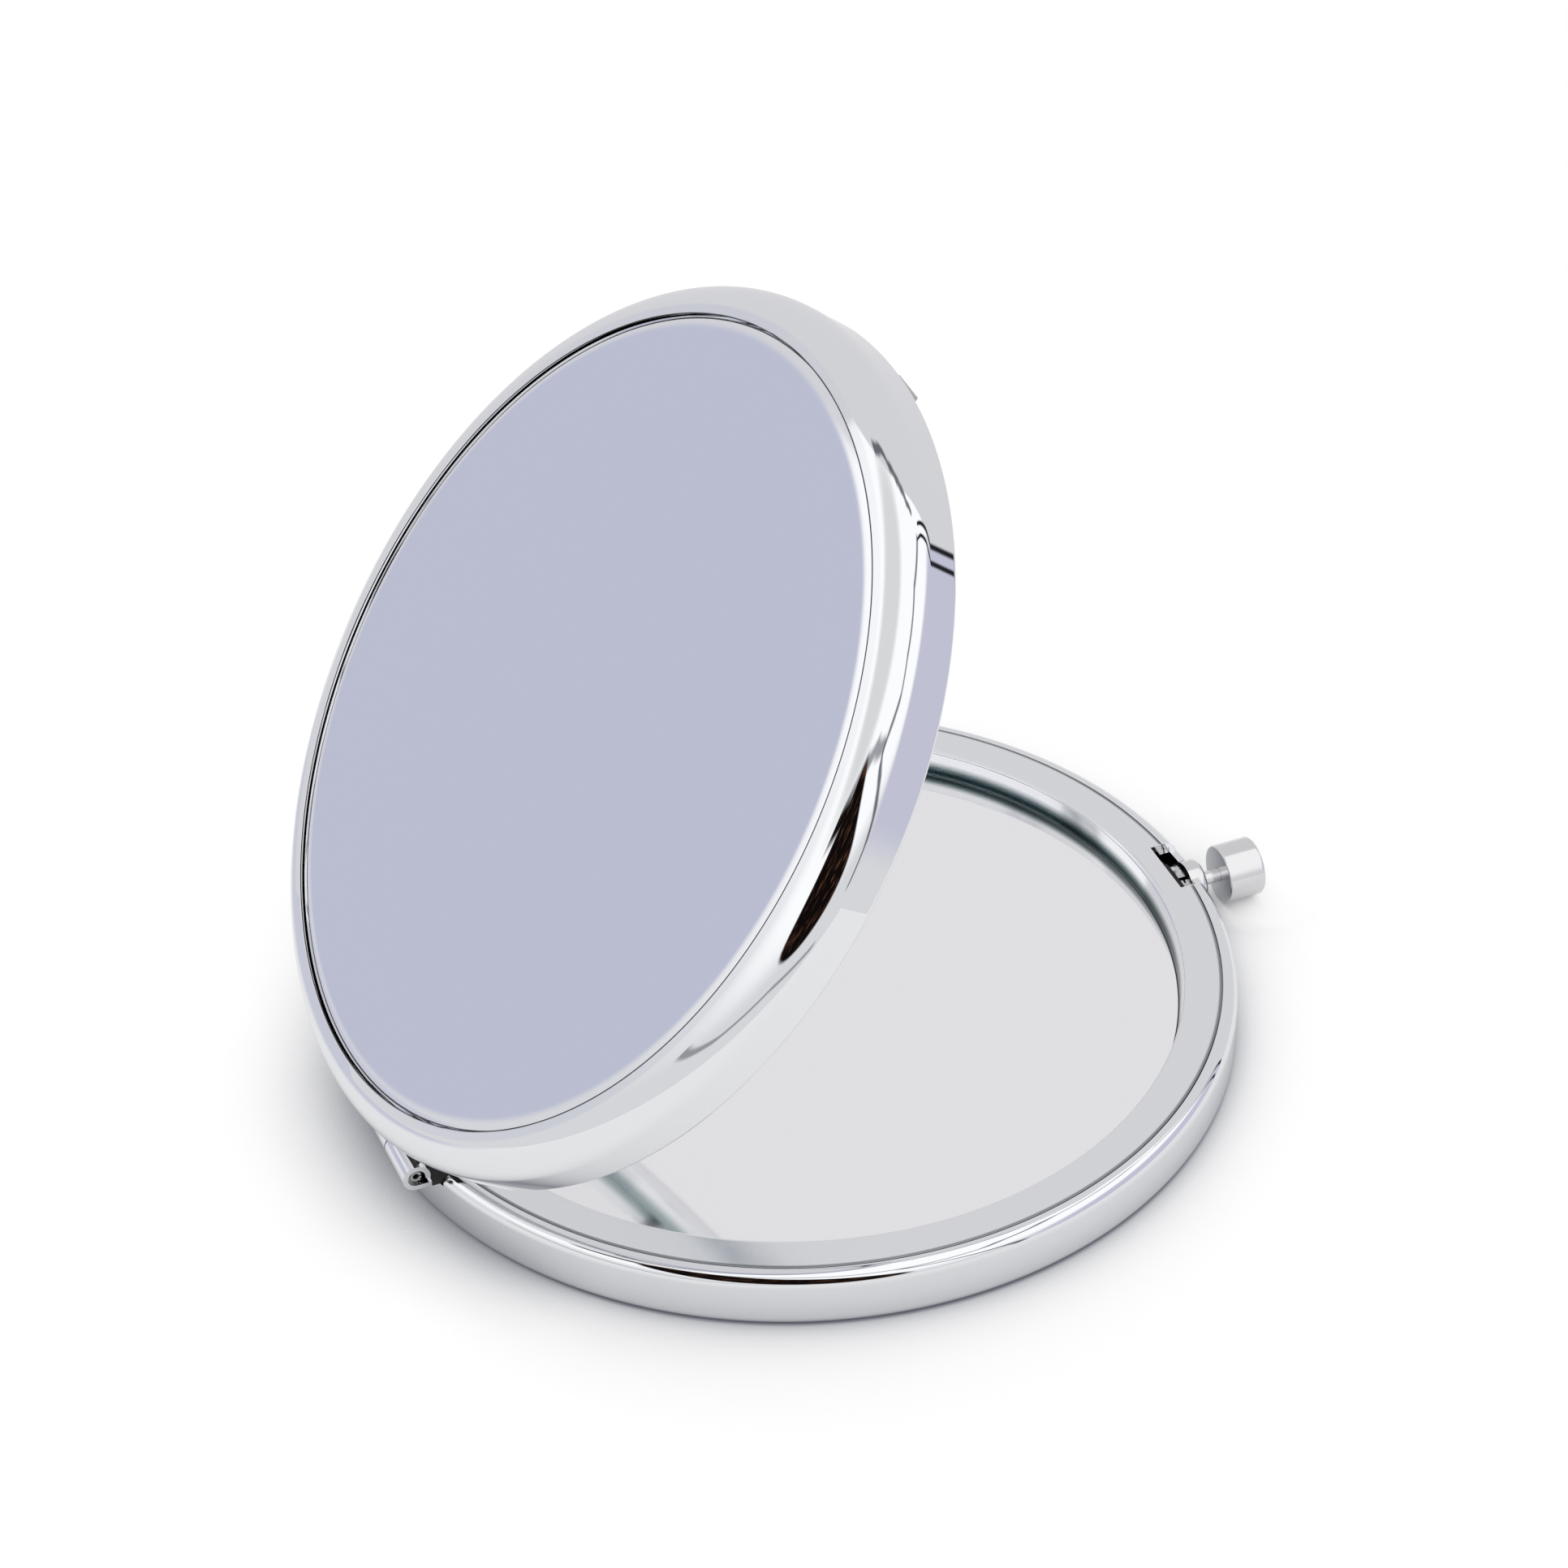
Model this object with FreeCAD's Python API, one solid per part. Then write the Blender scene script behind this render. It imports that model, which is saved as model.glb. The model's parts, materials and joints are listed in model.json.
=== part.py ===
import FreeCAD, Part
import math
import os

# Round pocket mirror with two hinged halves, standing open on its base, in millimetres.
# +Z is up, +X runs from the hinge to the push button, and the origin is the centre of the underside.
# Each half is modelled by itself, with z as the depth below its mating plane, and then put in its place.

Vector = FreeCAD.Vector

# Case
case_diameter = 70.0
base_height = 4.8
lid_height = 5.55
parting_gap = 0.2
lid_opening_degrees = 50.5
shell_thickness = 0.6

# Rims, turned in over the frames
rim_lip_width = 1.2
rim_lip_thickness = 0.5
base_rim_radius = 1.2
lid_rim_radius = 0.4
base_foot_radius = 0.8

# Lid's outer face, with a recess for the face plate
lid_shoulder_radius = 2.7
recess_crest_radius = 0.3
recess_depth = 0.8
face_plate_thickness = 0.5
face_plate_groove = 0.15
face_plate_edge_width = 1.5
face_plate_edge_drop = 0.3
face_tape_thickness = 0.15
face_tape_inset = 0.8

# Frames that hold the mirrors
ring_width = 3.0
ring_thickness = 0.6
ring_inner_edge_radius = 0.3
frame_wall_thickness = 0.25
frame_wall_lean = 0.4
flange_width = 0.95
flange_thickness = 0.48
skirt_thickness = 0.3
seam_gap = 0.06
seat_gap = 0.02
press_gap = 0.05

# Mirrors and the pads behind them
mirror_thickness = 1.2
mirror_edge_bevel = 0.15
base_pad_thickness = 0.8
lid_mirror_curve_radius = 600.0
lid_mirror_floor_gap = 0.4
pad_inset = 0.5
lid_pad_width = 6.4

# Hinge
hinge_length = 21.5
hinge_stand_off = 0.2
hinge_leaf_thickness = 0.4
hinge_leaf_reach = 2.8
knuckle_count = 5
knuckle_side_gap = 0.06
knuckle_open_degrees = 75.0
hinge_notch_gap = 0.2
pin_running_gap = 0.04
pin_wall = 0.36
pin_slit_width = 0.25
pin_end_inset = 0.3

# Push button
button_axis_rise = 0.1
button_cap_diameter = 4.8
button_cap_length = 3.2
button_cap_stand_off = 2.4
button_cap_edge_radius = 0.3
button_cap_bore_depth = 1.4
button_travel = 1.0
stem_diameter = 1.1
stem_neck_diameter = 0.8
stem_running_gap = 0.05
stem_press_gap = 0.02

# Guide bush of the button in the base's wall
bush_rim_gap = 0.45
bush_proud = 0.75
bush_nose_radius = 0.5
bush_flange_thickness = 0.33
bush_flange_overhang = 0.45

# Latch slot in the base's rim
slot_width = 5.6
slot_length = 2.4
slot_wall_depth = 0.9

# Catch hook on the lid
hook_width = 3.2
hook_thickness = 0.5
hook_wall_gap = 0.15
hook_stem_gap = 0.1
hook_nose_length = 0.5
hook_nose_height = 0.4
hook_nose_ramp = 0.25
hook_foot_length = 1.6
hook_foot_thickness = 0.4
hook_slot_gap = 0.05

# Bolt on the stem, which holds the hook's nose
bolt_width = 3.4
bolt_thickness = 0.45
bolt_nose_gap = 0.25
ledge_overlap = 0.4
ledge_thickness = 0.3
ledge_ramp = 0.2
latch_play = 0.05

# Guide channel of the bolt
guide_wall = 0.35
guide_floor = 0.3
guide_side_gap = 0.05
guide_top_depth = 1.2
guide_lip_gap = 0.2
guide_back_gap = 0.25

# Conical spring behind the bolt
spring_wire_diameter = 0.2
spring_ring_gap = 0.25
spring_bolt_diameter = 1.2
spring_turns = 1.75
spring_end_gap = 0.02

# How far a cutter reaches past what it cuts, and how close two ends of an outline count as one point
overrun = 2.0
same_point = 1e-7

# Worked out from the sizes above
case_radius = case_diameter / 2
case_inner_radius = case_radius - shell_thickness
ring_outer_radius = case_radius - rim_lip_width
ring_inner_radius = ring_outer_radius - ring_width
skirt_outer_radius = ring_inner_radius + frame_wall_thickness
skirt_inner_radius = skirt_outer_radius - skirt_thickness
mirror_radius = skirt_inner_radius - press_gap
recess_radius = case_radius - lid_shoulder_radius - recess_crest_radius
base_floor_depth = base_height - shell_thickness
lid_floor_depth = lid_height - recess_depth - shell_thickness
base_mirror_depth = base_floor_depth - base_pad_thickness - mirror_thickness
lid_mirror_hollow = lid_mirror_curve_radius - math.sqrt(lid_mirror_curve_radius ** 2 - mirror_radius ** 2)
lid_mirror_depth = lid_floor_depth - lid_mirror_floor_gap - lid_mirror_hollow - mirror_thickness
flange_bottom_depth = rim_lip_thickness + seat_gap + flange_thickness
hinge_x = -(case_radius + hinge_stand_off)
hinge_depth = -parting_gap / 2
knuckle_outer_radius = ring_thickness + hinge_leaf_thickness - hinge_depth
knuckle_bore_radius = knuckle_outer_radius - hinge_leaf_thickness
hinge_notch_depth = ring_thickness + hinge_leaf_thickness + hinge_notch_gap
button_axis_depth = base_height / 2 - button_axis_rise
bush_diameter = 2 * (button_axis_depth - bush_rim_gap)
spring_seat_diameter = 2 * (button_axis_depth - ring_thickness - spring_ring_gap) - spring_wire_diameter
hook_reach = button_axis_depth - stem_neck_diameter / 2 - hook_stem_gap
hook_outer_x = case_inner_radius - hook_wall_gap
hook_inner_x = hook_outer_x - hook_thickness
nose_tip_x = hook_inner_x - hook_nose_length
ledge_tip_x = nose_tip_x + ledge_overlap
bolt_outer_x = nose_tip_x - bolt_nose_gap
bolt_inner_x = bolt_outer_x - bolt_thickness
nose_top_depth = hook_reach - hook_nose_height
ledge_bottom_depth = nose_top_depth - latch_play
ledge_top_depth = ledge_bottom_depth - ledge_thickness
cap_inner_x = case_radius + button_cap_stand_off

X_AXIS = Vector(1, 0, 0)
Y_AXIS = Vector(0, 1, 0)
Z_AXIS = Vector(0, 0, 1)
ORIGIN = Vector(0, 0, 0)


def rounded_face(corners):
    """Face in the XZ plane: each corner is (x, z, radius), with radius 0 where it is sharp."""
    points = [Vector(x, 0, z) for x, z, radius in corners]
    stops = []
    for number, (x, z, radius) in enumerate(corners):
        corner = points[number]
        back = (points[number - 1] - corner).normalize()
        ahead = (points[(number + 1) % len(points)] - corner).normalize()
        half_angle = back.getAngle(ahead) / 2
        reach = radius / math.tan(half_angle)
        middle = corner
        if radius:
            inward = (back + ahead).normalize()
            middle = corner + inward * (radius / math.sin(half_angle) - radius)
        stops.append((corner + back * reach, middle, corner + ahead * reach, radius))
    edges = []
    for number, (entry, middle, leave, radius) in enumerate(stops):
        if radius:
            edges.append(Part.Arc(entry, middle, leave).toShape())
        following = stops[(number + 1) % len(stops)][0]
        if not leave.isEqual(following, same_point):
            edges.append(Part.LineSegment(leave, following).toShape())
    return Part.Face(Part.Wire(edges))


def turned(corners):
    """Solid of revolution about the case's own axis, from corners (radius, depth, rounding)."""
    return rounded_face(corners).revolve(ORIGIN, Z_AXIS, 360)


def turned_on_button_axis(corners):
    """Solid of revolution about the button's axis, from corners (x, radius, rounding)."""
    raised = [(x, button_axis_depth + radius, rounding) for x, radius, rounding in corners]
    return rounded_face(raised).revolve(Vector(0, 0, button_axis_depth), X_AXIS, 360)


def extruded(corners, width):
    """Prism of the given width along Y, centred on the XZ plane."""
    face = rounded_face(corners)
    face.translate(Y_AXIS * (-width / 2))
    return face.extrude(Y_AXIS * width)


def block(low_x, high_x, width, low_depth, high_depth):
    corners = [(low_x, low_depth, 0), (high_x, low_depth, 0), (high_x, high_depth, 0), (low_x, high_depth, 0)]
    return extruded(corners, width)


def rod(radius, low_x, high_x):
    """Cylinder along the button's axis."""
    return Part.makeCylinder(radius, high_x - low_x, Vector(low_x, 0, button_axis_depth), X_AXIS)


def hinge_notch():
    """Clearance in a rim for the hinge's leaves and barrel."""
    return block(hinge_x - overrun, 0, hinge_length + 2 * hinge_notch_gap, -overrun, hinge_notch_depth)


def flange_gap(width, side):
    """Opening in a frame's flange, on the hinge's side (-1) or the button's side (1)."""
    outside = Part.makeCylinder(case_radius, flange_bottom_depth)
    inside = Part.makeCylinder(case_inner_radius - press_gap - flange_width, flange_bottom_depth)
    ring = Part.makeCylinder(ring_outer_radius - seam_gap, ring_thickness)
    sector = block(0, side * case_radius, width, 0, flange_bottom_depth)
    return outside.cut([inside, ring]).common(sector)


def base_shell():
    """Pressed cup: flat underside, straight wall and a rounded rim turned in over the frame."""
    cup = turned([
        (0, base_height, 0),
        (case_radius, base_height, base_foot_radius),
        (case_radius, 0, base_rim_radius),
        (ring_outer_radius, 0, 0),
        (ring_outer_radius, rim_lip_thickness, 0),
        (case_inner_radius, rim_lip_thickness, 0),
        (case_inner_radius, base_floor_depth, 0),
        (0, base_floor_depth, 0),
    ])
    slot = block(case_radius - slot_length, case_radius + overrun, slot_width, -overrun, slot_wall_depth)
    bush_hole = rod(bush_diameter / 2 + stem_press_gap, case_inner_radius - overrun, case_radius + overrun)
    return cup.cut([hinge_notch(), slot, bush_hole])


def lid_shell():
    """Pressed cup with a full round shoulder, and a shallow recess in its outer face."""
    recess_floor = lid_height - recess_depth
    cup = turned([
        (0, recess_floor, 0),
        (recess_radius, recess_floor, 0),
        (recess_radius, lid_height, recess_crest_radius),
        (case_radius, lid_height, lid_shoulder_radius),
        (case_radius, 0, lid_rim_radius),
        (ring_outer_radius, 0, 0),
        (ring_outer_radius, rim_lip_thickness, 0),
        (case_inner_radius, rim_lip_thickness, 0),
        (case_inner_radius, lid_floor_depth, lid_shoulder_radius - shell_thickness),
        (0, lid_floor_depth, 0),
    ])
    return cup.cut([hinge_notch(), hook_slot()])


def frame(mirror_depth, floor_depth):
    """Pressed ring: flat face, leaning inner wall over the mirror's edge, skirt and outer flange."""
    lip_depth = mirror_depth - seat_gap
    flange_radius = case_inner_radius - press_gap
    ring = turned([
        (ring_inner_radius, 0, ring_inner_edge_radius),
        (ring_outer_radius - seam_gap, 0, 0),
        (ring_outer_radius - seam_gap, rim_lip_thickness + seat_gap, 0),
        (flange_radius, rim_lip_thickness + seat_gap, 0),
        (flange_radius, flange_bottom_depth, 0),
        (flange_radius - flange_width, flange_bottom_depth, 0),
        (flange_radius - flange_width, ring_thickness, 0),
        (skirt_outer_radius, ring_thickness, 0),
        (skirt_outer_radius, floor_depth - press_gap, 0),
        (skirt_inner_radius, floor_depth - press_gap, 0),
        (skirt_inner_radius, lip_depth, 0),
        (ring_inner_radius - frame_wall_lean, lip_depth, 0),
    ])
    return ring.cut(flange_gap(hinge_length + 2 * hinge_notch_gap, -1))


def base_frame():
    slot = block(case_radius - slot_length, case_radius, slot_width, -overrun, base_height)
    return frame(base_mirror_depth, base_floor_depth).cut(slot)


def lid_frame():
    ring = frame(lid_mirror_depth, lid_floor_depth)
    return ring.cut([flange_gap(slot_width, 1), hook_slot()])


def base_mirror():
    """Flat glass disc, silvered behind, with ground edges."""
    back = base_mirror_depth + mirror_thickness
    return turned([
        (0, base_mirror_depth, 0),
        (mirror_radius - mirror_edge_bevel, base_mirror_depth, 0),
        (mirror_radius, base_mirror_depth + mirror_edge_bevel, 0),
        (mirror_radius, back, 0),
        (0, back, 0),
    ])


def base_mirror_pad():
    top = base_floor_depth - base_pad_thickness
    radius = mirror_radius - pad_inset
    return turned([(0, top, 0), (radius, top, 0), (radius, base_floor_depth, 0), (0, base_floor_depth, 0)])


def dish_depth(radius, edge_depth):
    """Depth of the magnifying mirror's curve at a radius, from its depth at the glass's edge."""
    rise = math.sqrt(lid_mirror_curve_radius ** 2 - radius ** 2)
    return edge_depth + rise - math.sqrt(lid_mirror_curve_radius ** 2 - mirror_radius ** 2)


def dished_ring(inner_radius, outer_radius, front, back):
    """Revolved section whose front, and back where it has one, follow the mirror's curve."""
    def curve(edge_depth, start, end):
        stops = [start, (start + end) / 2, end]
        return Part.Arc(*[Vector(radius, 0, dish_depth(radius, edge_depth)) for radius in stops]).toShape()

    front_edge = curve(front, inner_radius, outer_radius)
    if back is None:
        low = Vector(outer_radius, 0, lid_floor_depth)
        high = Vector(inner_radius, 0, lid_floor_depth)
        back_edge = Part.LineSegment(low, high).toShape()
    else:
        back_edge = curve(back, outer_radius, inner_radius)
    front_start, front_end = [vertex.Point for vertex in front_edge.Vertexes]
    ends = sorted((vertex.Point for vertex in back_edge.Vertexes), key=lambda point: point.x)
    rim = Part.LineSegment(front_end, ends[1]).toShape()
    hub = Part.LineSegment(ends[0], front_start).toShape()
    section = Part.Face(Part.Wire([front_edge, rim, back_edge, hub]))
    return section.revolve(ORIGIN, Z_AXIS, 360)


def lid_mirror():
    """Magnifying glass disc, bent to one slight hollow curve."""
    return dished_ring(0, mirror_radius, lid_mirror_depth, lid_mirror_depth + mirror_thickness)


def lid_mirror_pad():
    """Foam ring between the bent glass and the lid's floor."""
    outer = mirror_radius - pad_inset
    return dished_ring(outer - lid_pad_width, outer, lid_mirror_depth + mirror_thickness, None)


def lid_face_plate():
    """Thin polished plate with a softly rounded edge, set in the recess."""
    back = lid_height - recess_depth + face_tape_thickness
    face = back + face_plate_thickness
    rim = recess_radius - face_plate_groove
    flat = rim - face_plate_edge_width
    round_radius = (face_plate_edge_width ** 2 + face_plate_edge_drop ** 2) / (2 * face_plate_edge_drop)
    halfway = flat + face_plate_edge_width / 2
    halfway_depth = face - round_radius + math.sqrt(round_radius ** 2 - (halfway - flat) ** 2)
    start = Vector(flat, 0, face)
    end = Vector(rim, 0, face - face_plate_edge_drop)
    edge = Part.Arc(start, Vector(halfway, 0, halfway_depth), end).toShape()
    rest = Part.makePolygon([end, Vector(rim, 0, back), Vector(0, 0, back), Vector(0, 0, face), start])
    return Part.Face(Part.Wire([edge] + rest.Edges)).revolve(ORIGIN, Z_AXIS, 360)


def face_plate_tape():
    floor = lid_height - recess_depth
    radius = recess_radius - face_tape_inset
    top = floor + face_tape_thickness
    return turned([(0, floor, 0), (radius, floor, 0), (radius, top, 0), (0, top, 0)])


def hinge_leaf(own_knuckle):
    """Strip rolled round the pin at its own knuckles, its flat tail held under the frame's ring."""
    def on_circle(radius, degrees):
        angle = math.radians(degrees)
        return Vector(hinge_x + radius * math.cos(angle), 0, hinge_depth + radius * math.sin(angle))

    tail_end = hinge_x + knuckle_outer_radius + knuckle_side_gap
    start_degrees = 90
    end_degrees = 360 + start_degrees - knuckle_open_degrees
    quarter_degrees = (end_degrees - start_degrees) / 4
    outer_stops = [on_circle(knuckle_outer_radius, start_degrees + quarter_degrees * n) for n in range(5)]
    inner_stops = [on_circle(knuckle_bore_radius, end_degrees - quarter_degrees * n) for n in range(5)]
    edges = [Part.Arc(*outer_stops[n:n + 3]).toShape() for n in (0, 2)]
    edges.append(Part.LineSegment(outer_stops[4], inner_stops[0]).toShape())
    edges += [Part.Arc(*inner_stops[n:n + 3]).toShape() for n in (0, 2)]
    tail_top = Vector(tail_end, 0, ring_thickness)
    tail_bottom = Vector(tail_end, 0, ring_thickness + hinge_leaf_thickness)
    edges += Part.makePolygon([inner_stops[4], tail_top, tail_bottom, outer_stops[0]]).Edges
    roll = Part.Face(Part.Wire(edges))

    pitch = hinge_length / knuckle_count
    length = pitch - 2 * knuckle_side_gap
    leaf = block(tail_end, 0, hinge_length, ring_thickness, ring_thickness + hinge_leaf_thickness)
    leaf = leaf.cut(Part.makeCylinder(case_radius - hinge_leaf_reach, base_height))
    for number in range(knuckle_count):
        if number % 2 == own_knuckle:
            knuckle = roll.copy()
            knuckle.translate(Y_AXIS * (number * pitch + knuckle_side_gap - hinge_length / 2))
            leaf = leaf.fuse(knuckle.extrude(Y_AXIS * length))
    return leaf.removeSplitter()


def hinge_pin():
    """Rolled pin: a slit tube, held in the base's knuckles."""
    radius = knuckle_bore_radius - pin_running_gap
    length = hinge_length - 2 * pin_end_inset
    start = Vector(hinge_x, -length / 2, hinge_depth)
    tube = Part.makeCylinder(radius, length, start, Y_AXIS)
    bore = Part.makeCylinder(radius - pin_wall, length, start, Y_AXIS)
    slit = Part.makeBox(radius, length, pin_slit_width, start - Z_AXIS * (pin_slit_width / 2))
    return tube.cut([bore, slit])


def hook_slot():
    """Slot through the lid's ring and rim for the leg of the catch hook."""
    low = hook_inner_x - hook_slot_gap
    high = hook_outer_x + hook_slot_gap
    return block(low, high, hook_width + 2 * hook_slot_gap, -overrun, ring_thickness)


def lid_catch_hook():
    """Bent strip: a foot behind the lid's ring, a leg through it, and a nose that points to the centre."""
    foot_back = ring_thickness + hook_foot_thickness
    tip = -(parting_gap + hook_reach)
    nose_top = tip + hook_nose_height
    return extruded([
        (hook_outer_x - hook_foot_length, ring_thickness, 0),
        (hook_inner_x, ring_thickness, 0),
        (hook_inner_x, nose_top, 0),
        (nose_tip_x, nose_top, 0),
        (nose_tip_x, tip + hook_nose_ramp, 0),
        (hook_inner_x, tip, 0),
        (hook_outer_x, tip, 0),
        (hook_outer_x, foot_back, 0),
        (hook_outer_x - hook_foot_length, foot_back, 0),
    ], hook_width)


def latch_bolt():
    """Upright plate on the stem's inner end, with a ramped ledge over the hook's nose."""
    bottom = base_floor_depth - guide_floor - guide_side_gap
    plate = extruded([
        (bolt_inner_x, ledge_top_depth, 0),
        (ledge_tip_x - ledge_overlap, ledge_top_depth, 0),
        (ledge_tip_x, ledge_top_depth + ledge_ramp, 0),
        (ledge_tip_x, ledge_bottom_depth, 0),
        (bolt_outer_x, ledge_bottom_depth, 0),
        (bolt_outer_x, bottom, 0),
        (bolt_inner_x, bottom, 0),
    ], bolt_width)
    hole_radius = stem_neck_diameter / 2 + stem_press_gap
    return plate.cut(rod(hole_radius, bolt_inner_x - overrun, bolt_outer_x + overrun))


def latch_guide():
    """Open channel on the base's floor: two cheeks beside the bolt, and a low lip that stops it outward."""
    inner_width = bolt_width + 2 * guide_side_gap
    back = skirt_outer_radius + guide_back_gap
    stop = bolt_outer_x + guide_side_gap
    front = stop + guide_wall
    floor_top = base_floor_depth - guide_floor
    lip_top = button_axis_depth + stem_neck_diameter / 2 + guide_lip_gap
    body = block(back, front, inner_width + 2 * guide_wall, guide_top_depth, base_floor_depth)
    channel = block(back - overrun, stop, inner_width, guide_top_depth - overrun, floor_top)
    over_lip = block(back, front + overrun, inner_width, guide_top_depth - overrun, lip_top)
    return body.cut([channel, over_lip])


def latch_bush():
    """Turned bush in the wall, with a round nose outside and a flange inside, cut flat above and below."""
    flange_outer = case_inner_radius - press_gap - bush_flange_overhang ** 2 / bush_diameter
    bush = turned_on_button_axis([
        (flange_outer - bush_flange_thickness, stem_diameter / 2 + stem_running_gap, 0),
        (flange_outer - bush_flange_thickness, bush_diameter / 2 + bush_flange_overhang, 0),
        (flange_outer, bush_diameter / 2 + bush_flange_overhang, 0),
        (flange_outer, bush_diameter / 2, 0),
        (case_radius + bush_proud, bush_diameter / 2, bush_nose_radius),
        (case_radius + bush_proud, stem_diameter / 2 + stem_running_gap, 0),
    ])
    hook_room = block(0, flange_outer, case_diameter, -overrun, hook_reach + hook_slot_gap)
    floor_room = block(0, flange_outer, case_diameter, base_floor_depth - press_gap, base_height)
    return bush.cut([hook_room, floor_room])


def button_stem():
    """Turned stem, necked where it runs beneath the hook to the bolt."""
    neck_end = hook_outer_x + button_travel + stem_running_gap
    end = cap_inner_x + button_cap_bore_depth - stem_press_gap
    return turned_on_button_axis([
        (bolt_inner_x, 0, 0),
        (bolt_inner_x, stem_neck_diameter / 2, 0),
        (neck_end, stem_neck_diameter / 2, 0),
        (neck_end, stem_diameter / 2, 0),
        (end, stem_diameter / 2, 0),
        (end, 0, 0),
    ])


def button_cap():
    """Turned knob, bored from behind for the stem."""
    bore = stem_diameter / 2 + stem_press_gap
    bore_end = cap_inner_x + button_cap_bore_depth
    outer_x = cap_inner_x + button_cap_length
    return turned_on_button_axis([
        (bore_end, 0, 0),
        (bore_end, bore, 0),
        (cap_inner_x, bore, 0),
        (cap_inner_x, button_cap_diameter / 2, button_cap_edge_radius / 2),
        (outer_x, button_cap_diameter / 2, button_cap_edge_radius),
        (outer_x, 0, 0),
    ])


def joined_arcs(start, start_tangent, end, end_tangent):
    """Two arcs that leave start and reach end along the given unit tangents, and meet smoothly."""
    across = end - start
    tangents = start_tangent + end_tangent
    bend = 2 * (start_tangent.dot(end_tangent) - 1)
    slope = -2 * across.dot(tangents)
    reach = (-slope - math.sqrt(slope ** 2 - 4 * bend * across.dot(across))) / (2 * bend)
    corners = [start + start_tangent * reach, end - end_tangent * reach]
    join = (corners[0] + corners[1]) * 0.5
    arcs = []
    for low, corner, high in ((start, corners[0], join), (join, corners[1], end)):
        chord_middle = (low + high) * 0.5
        half_chord = (high - low).Length / 2
        rise = corner - chord_middle
        half_turn = math.atan2(rise.Length, half_chord)
        sagitta = half_chord * math.tan(half_turn / 2)
        arcs.append(Part.Arc(low, chord_middle + rise.normalize() * sagitta, high).toShape())
    return arcs


def latch_spring():
    """Conical spring of round wire, its wide end on the frame's skirt and its small end on the bolt."""
    half_wire = spring_wire_diameter / 2
    seat_x = skirt_outer_radius + spring_end_gap + half_wire
    length = bolt_inner_x - spring_end_gap - half_wire - seat_x
    taper = (spring_bolt_diameter - spring_seat_diameter) / 2
    sweep = 2 * math.pi * spring_turns

    def at(share):
        radius = spring_seat_diameter / 2 + taper * share
        y = radius * math.cos(sweep * share)
        z = button_axis_depth + radius * math.sin(sweep * share)
        return Vector(seat_x + length * share, y, z)

    def along(share):
        radius = spring_seat_diameter / 2 + taper * share
        cosine = math.cos(sweep * share)
        sine = math.sin(sweep * share)
        y = taper * cosine - radius * sweep * sine
        z = taper * sine + radius * sweep * cosine
        return Vector(length, y, z).normalize()

    spans = round(4 * spring_turns)
    edges = []
    for number in range(spans):
        low = number / spans
        high = (number + 1) / spans
        edges += joined_arcs(at(low), along(low), at(high), along(high))
    section = Part.Wire(Part.Circle(at(0), along(0), half_wire).toShape())
    tube = Part.Wire(edges).makePipeShell([section], True, False)

    samples = 40 * spans
    centres = [at(number / samples) for number in range(samples + 1)]
    apart = round(samples / spring_turns / 2)
    gaps = [
        centres[low].distanceToPoint(centres[high]) - spring_wire_diameter
        for low in range(samples + 1)
        for high in range(low + apart, samples + 1)
    ]
    print("latch_spring least gap to itself", round(min(gaps), 3))
    return tube


def into_base(shape):
    shape.rotate(ORIGIN, X_AXIS, 180)
    shape.translate(Z_AXIS * base_height)
    return shape


def into_lid(shape):
    shape.translate(Z_AXIS * (base_height + parting_gap))
    hinge_point = Vector(hinge_x, 0, base_height + parting_gap / 2)
    shape.rotate(hinge_point, -Y_AXIS, lid_opening_degrees)
    return shape


base_pieces = {
    "base_shell": base_shell(),
    "base_frame": base_frame(),
    "base_mirror": base_mirror(),
    "base_mirror_pad": base_mirror_pad(),
    "base_hinge_leaf": hinge_leaf(0),
    "hinge_pin": hinge_pin(),
    "latch_bush": latch_bush(),
    "latch_guide": latch_guide(),
    "latch_spring": latch_spring(),
    "latch_bolt": latch_bolt(),
    "button_stem": button_stem(),
    "button_cap": button_cap(),
}
lid_pieces = {
    "lid_shell": lid_shell(),
    "lid_frame": lid_frame(),
    "lid_mirror": lid_mirror(),
    "lid_mirror_pad": lid_mirror_pad(),
    "lid_hinge_leaf": hinge_leaf(1),
    "lid_catch_hook": lid_catch_hook(),
    "lid_face_plate": lid_face_plate(),
    "face_plate_tape": face_plate_tape(),
}

os.makedirs("parts", exist_ok=True)
pieces = {name: into_base(shape) for name, shape in base_pieces.items()}
pieces.update({name: into_lid(shape) for name, shape in lid_pieces.items()})
for name, shape in pieces.items():
    shape.exportStep(f"parts/{name}.step")
    print(name, shape.isValid(), len(shape.Solids), round(shape.Volume, 2))
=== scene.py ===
import json
import math
import bmesh
import bpy
from mathutils import Matrix, Vector


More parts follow.
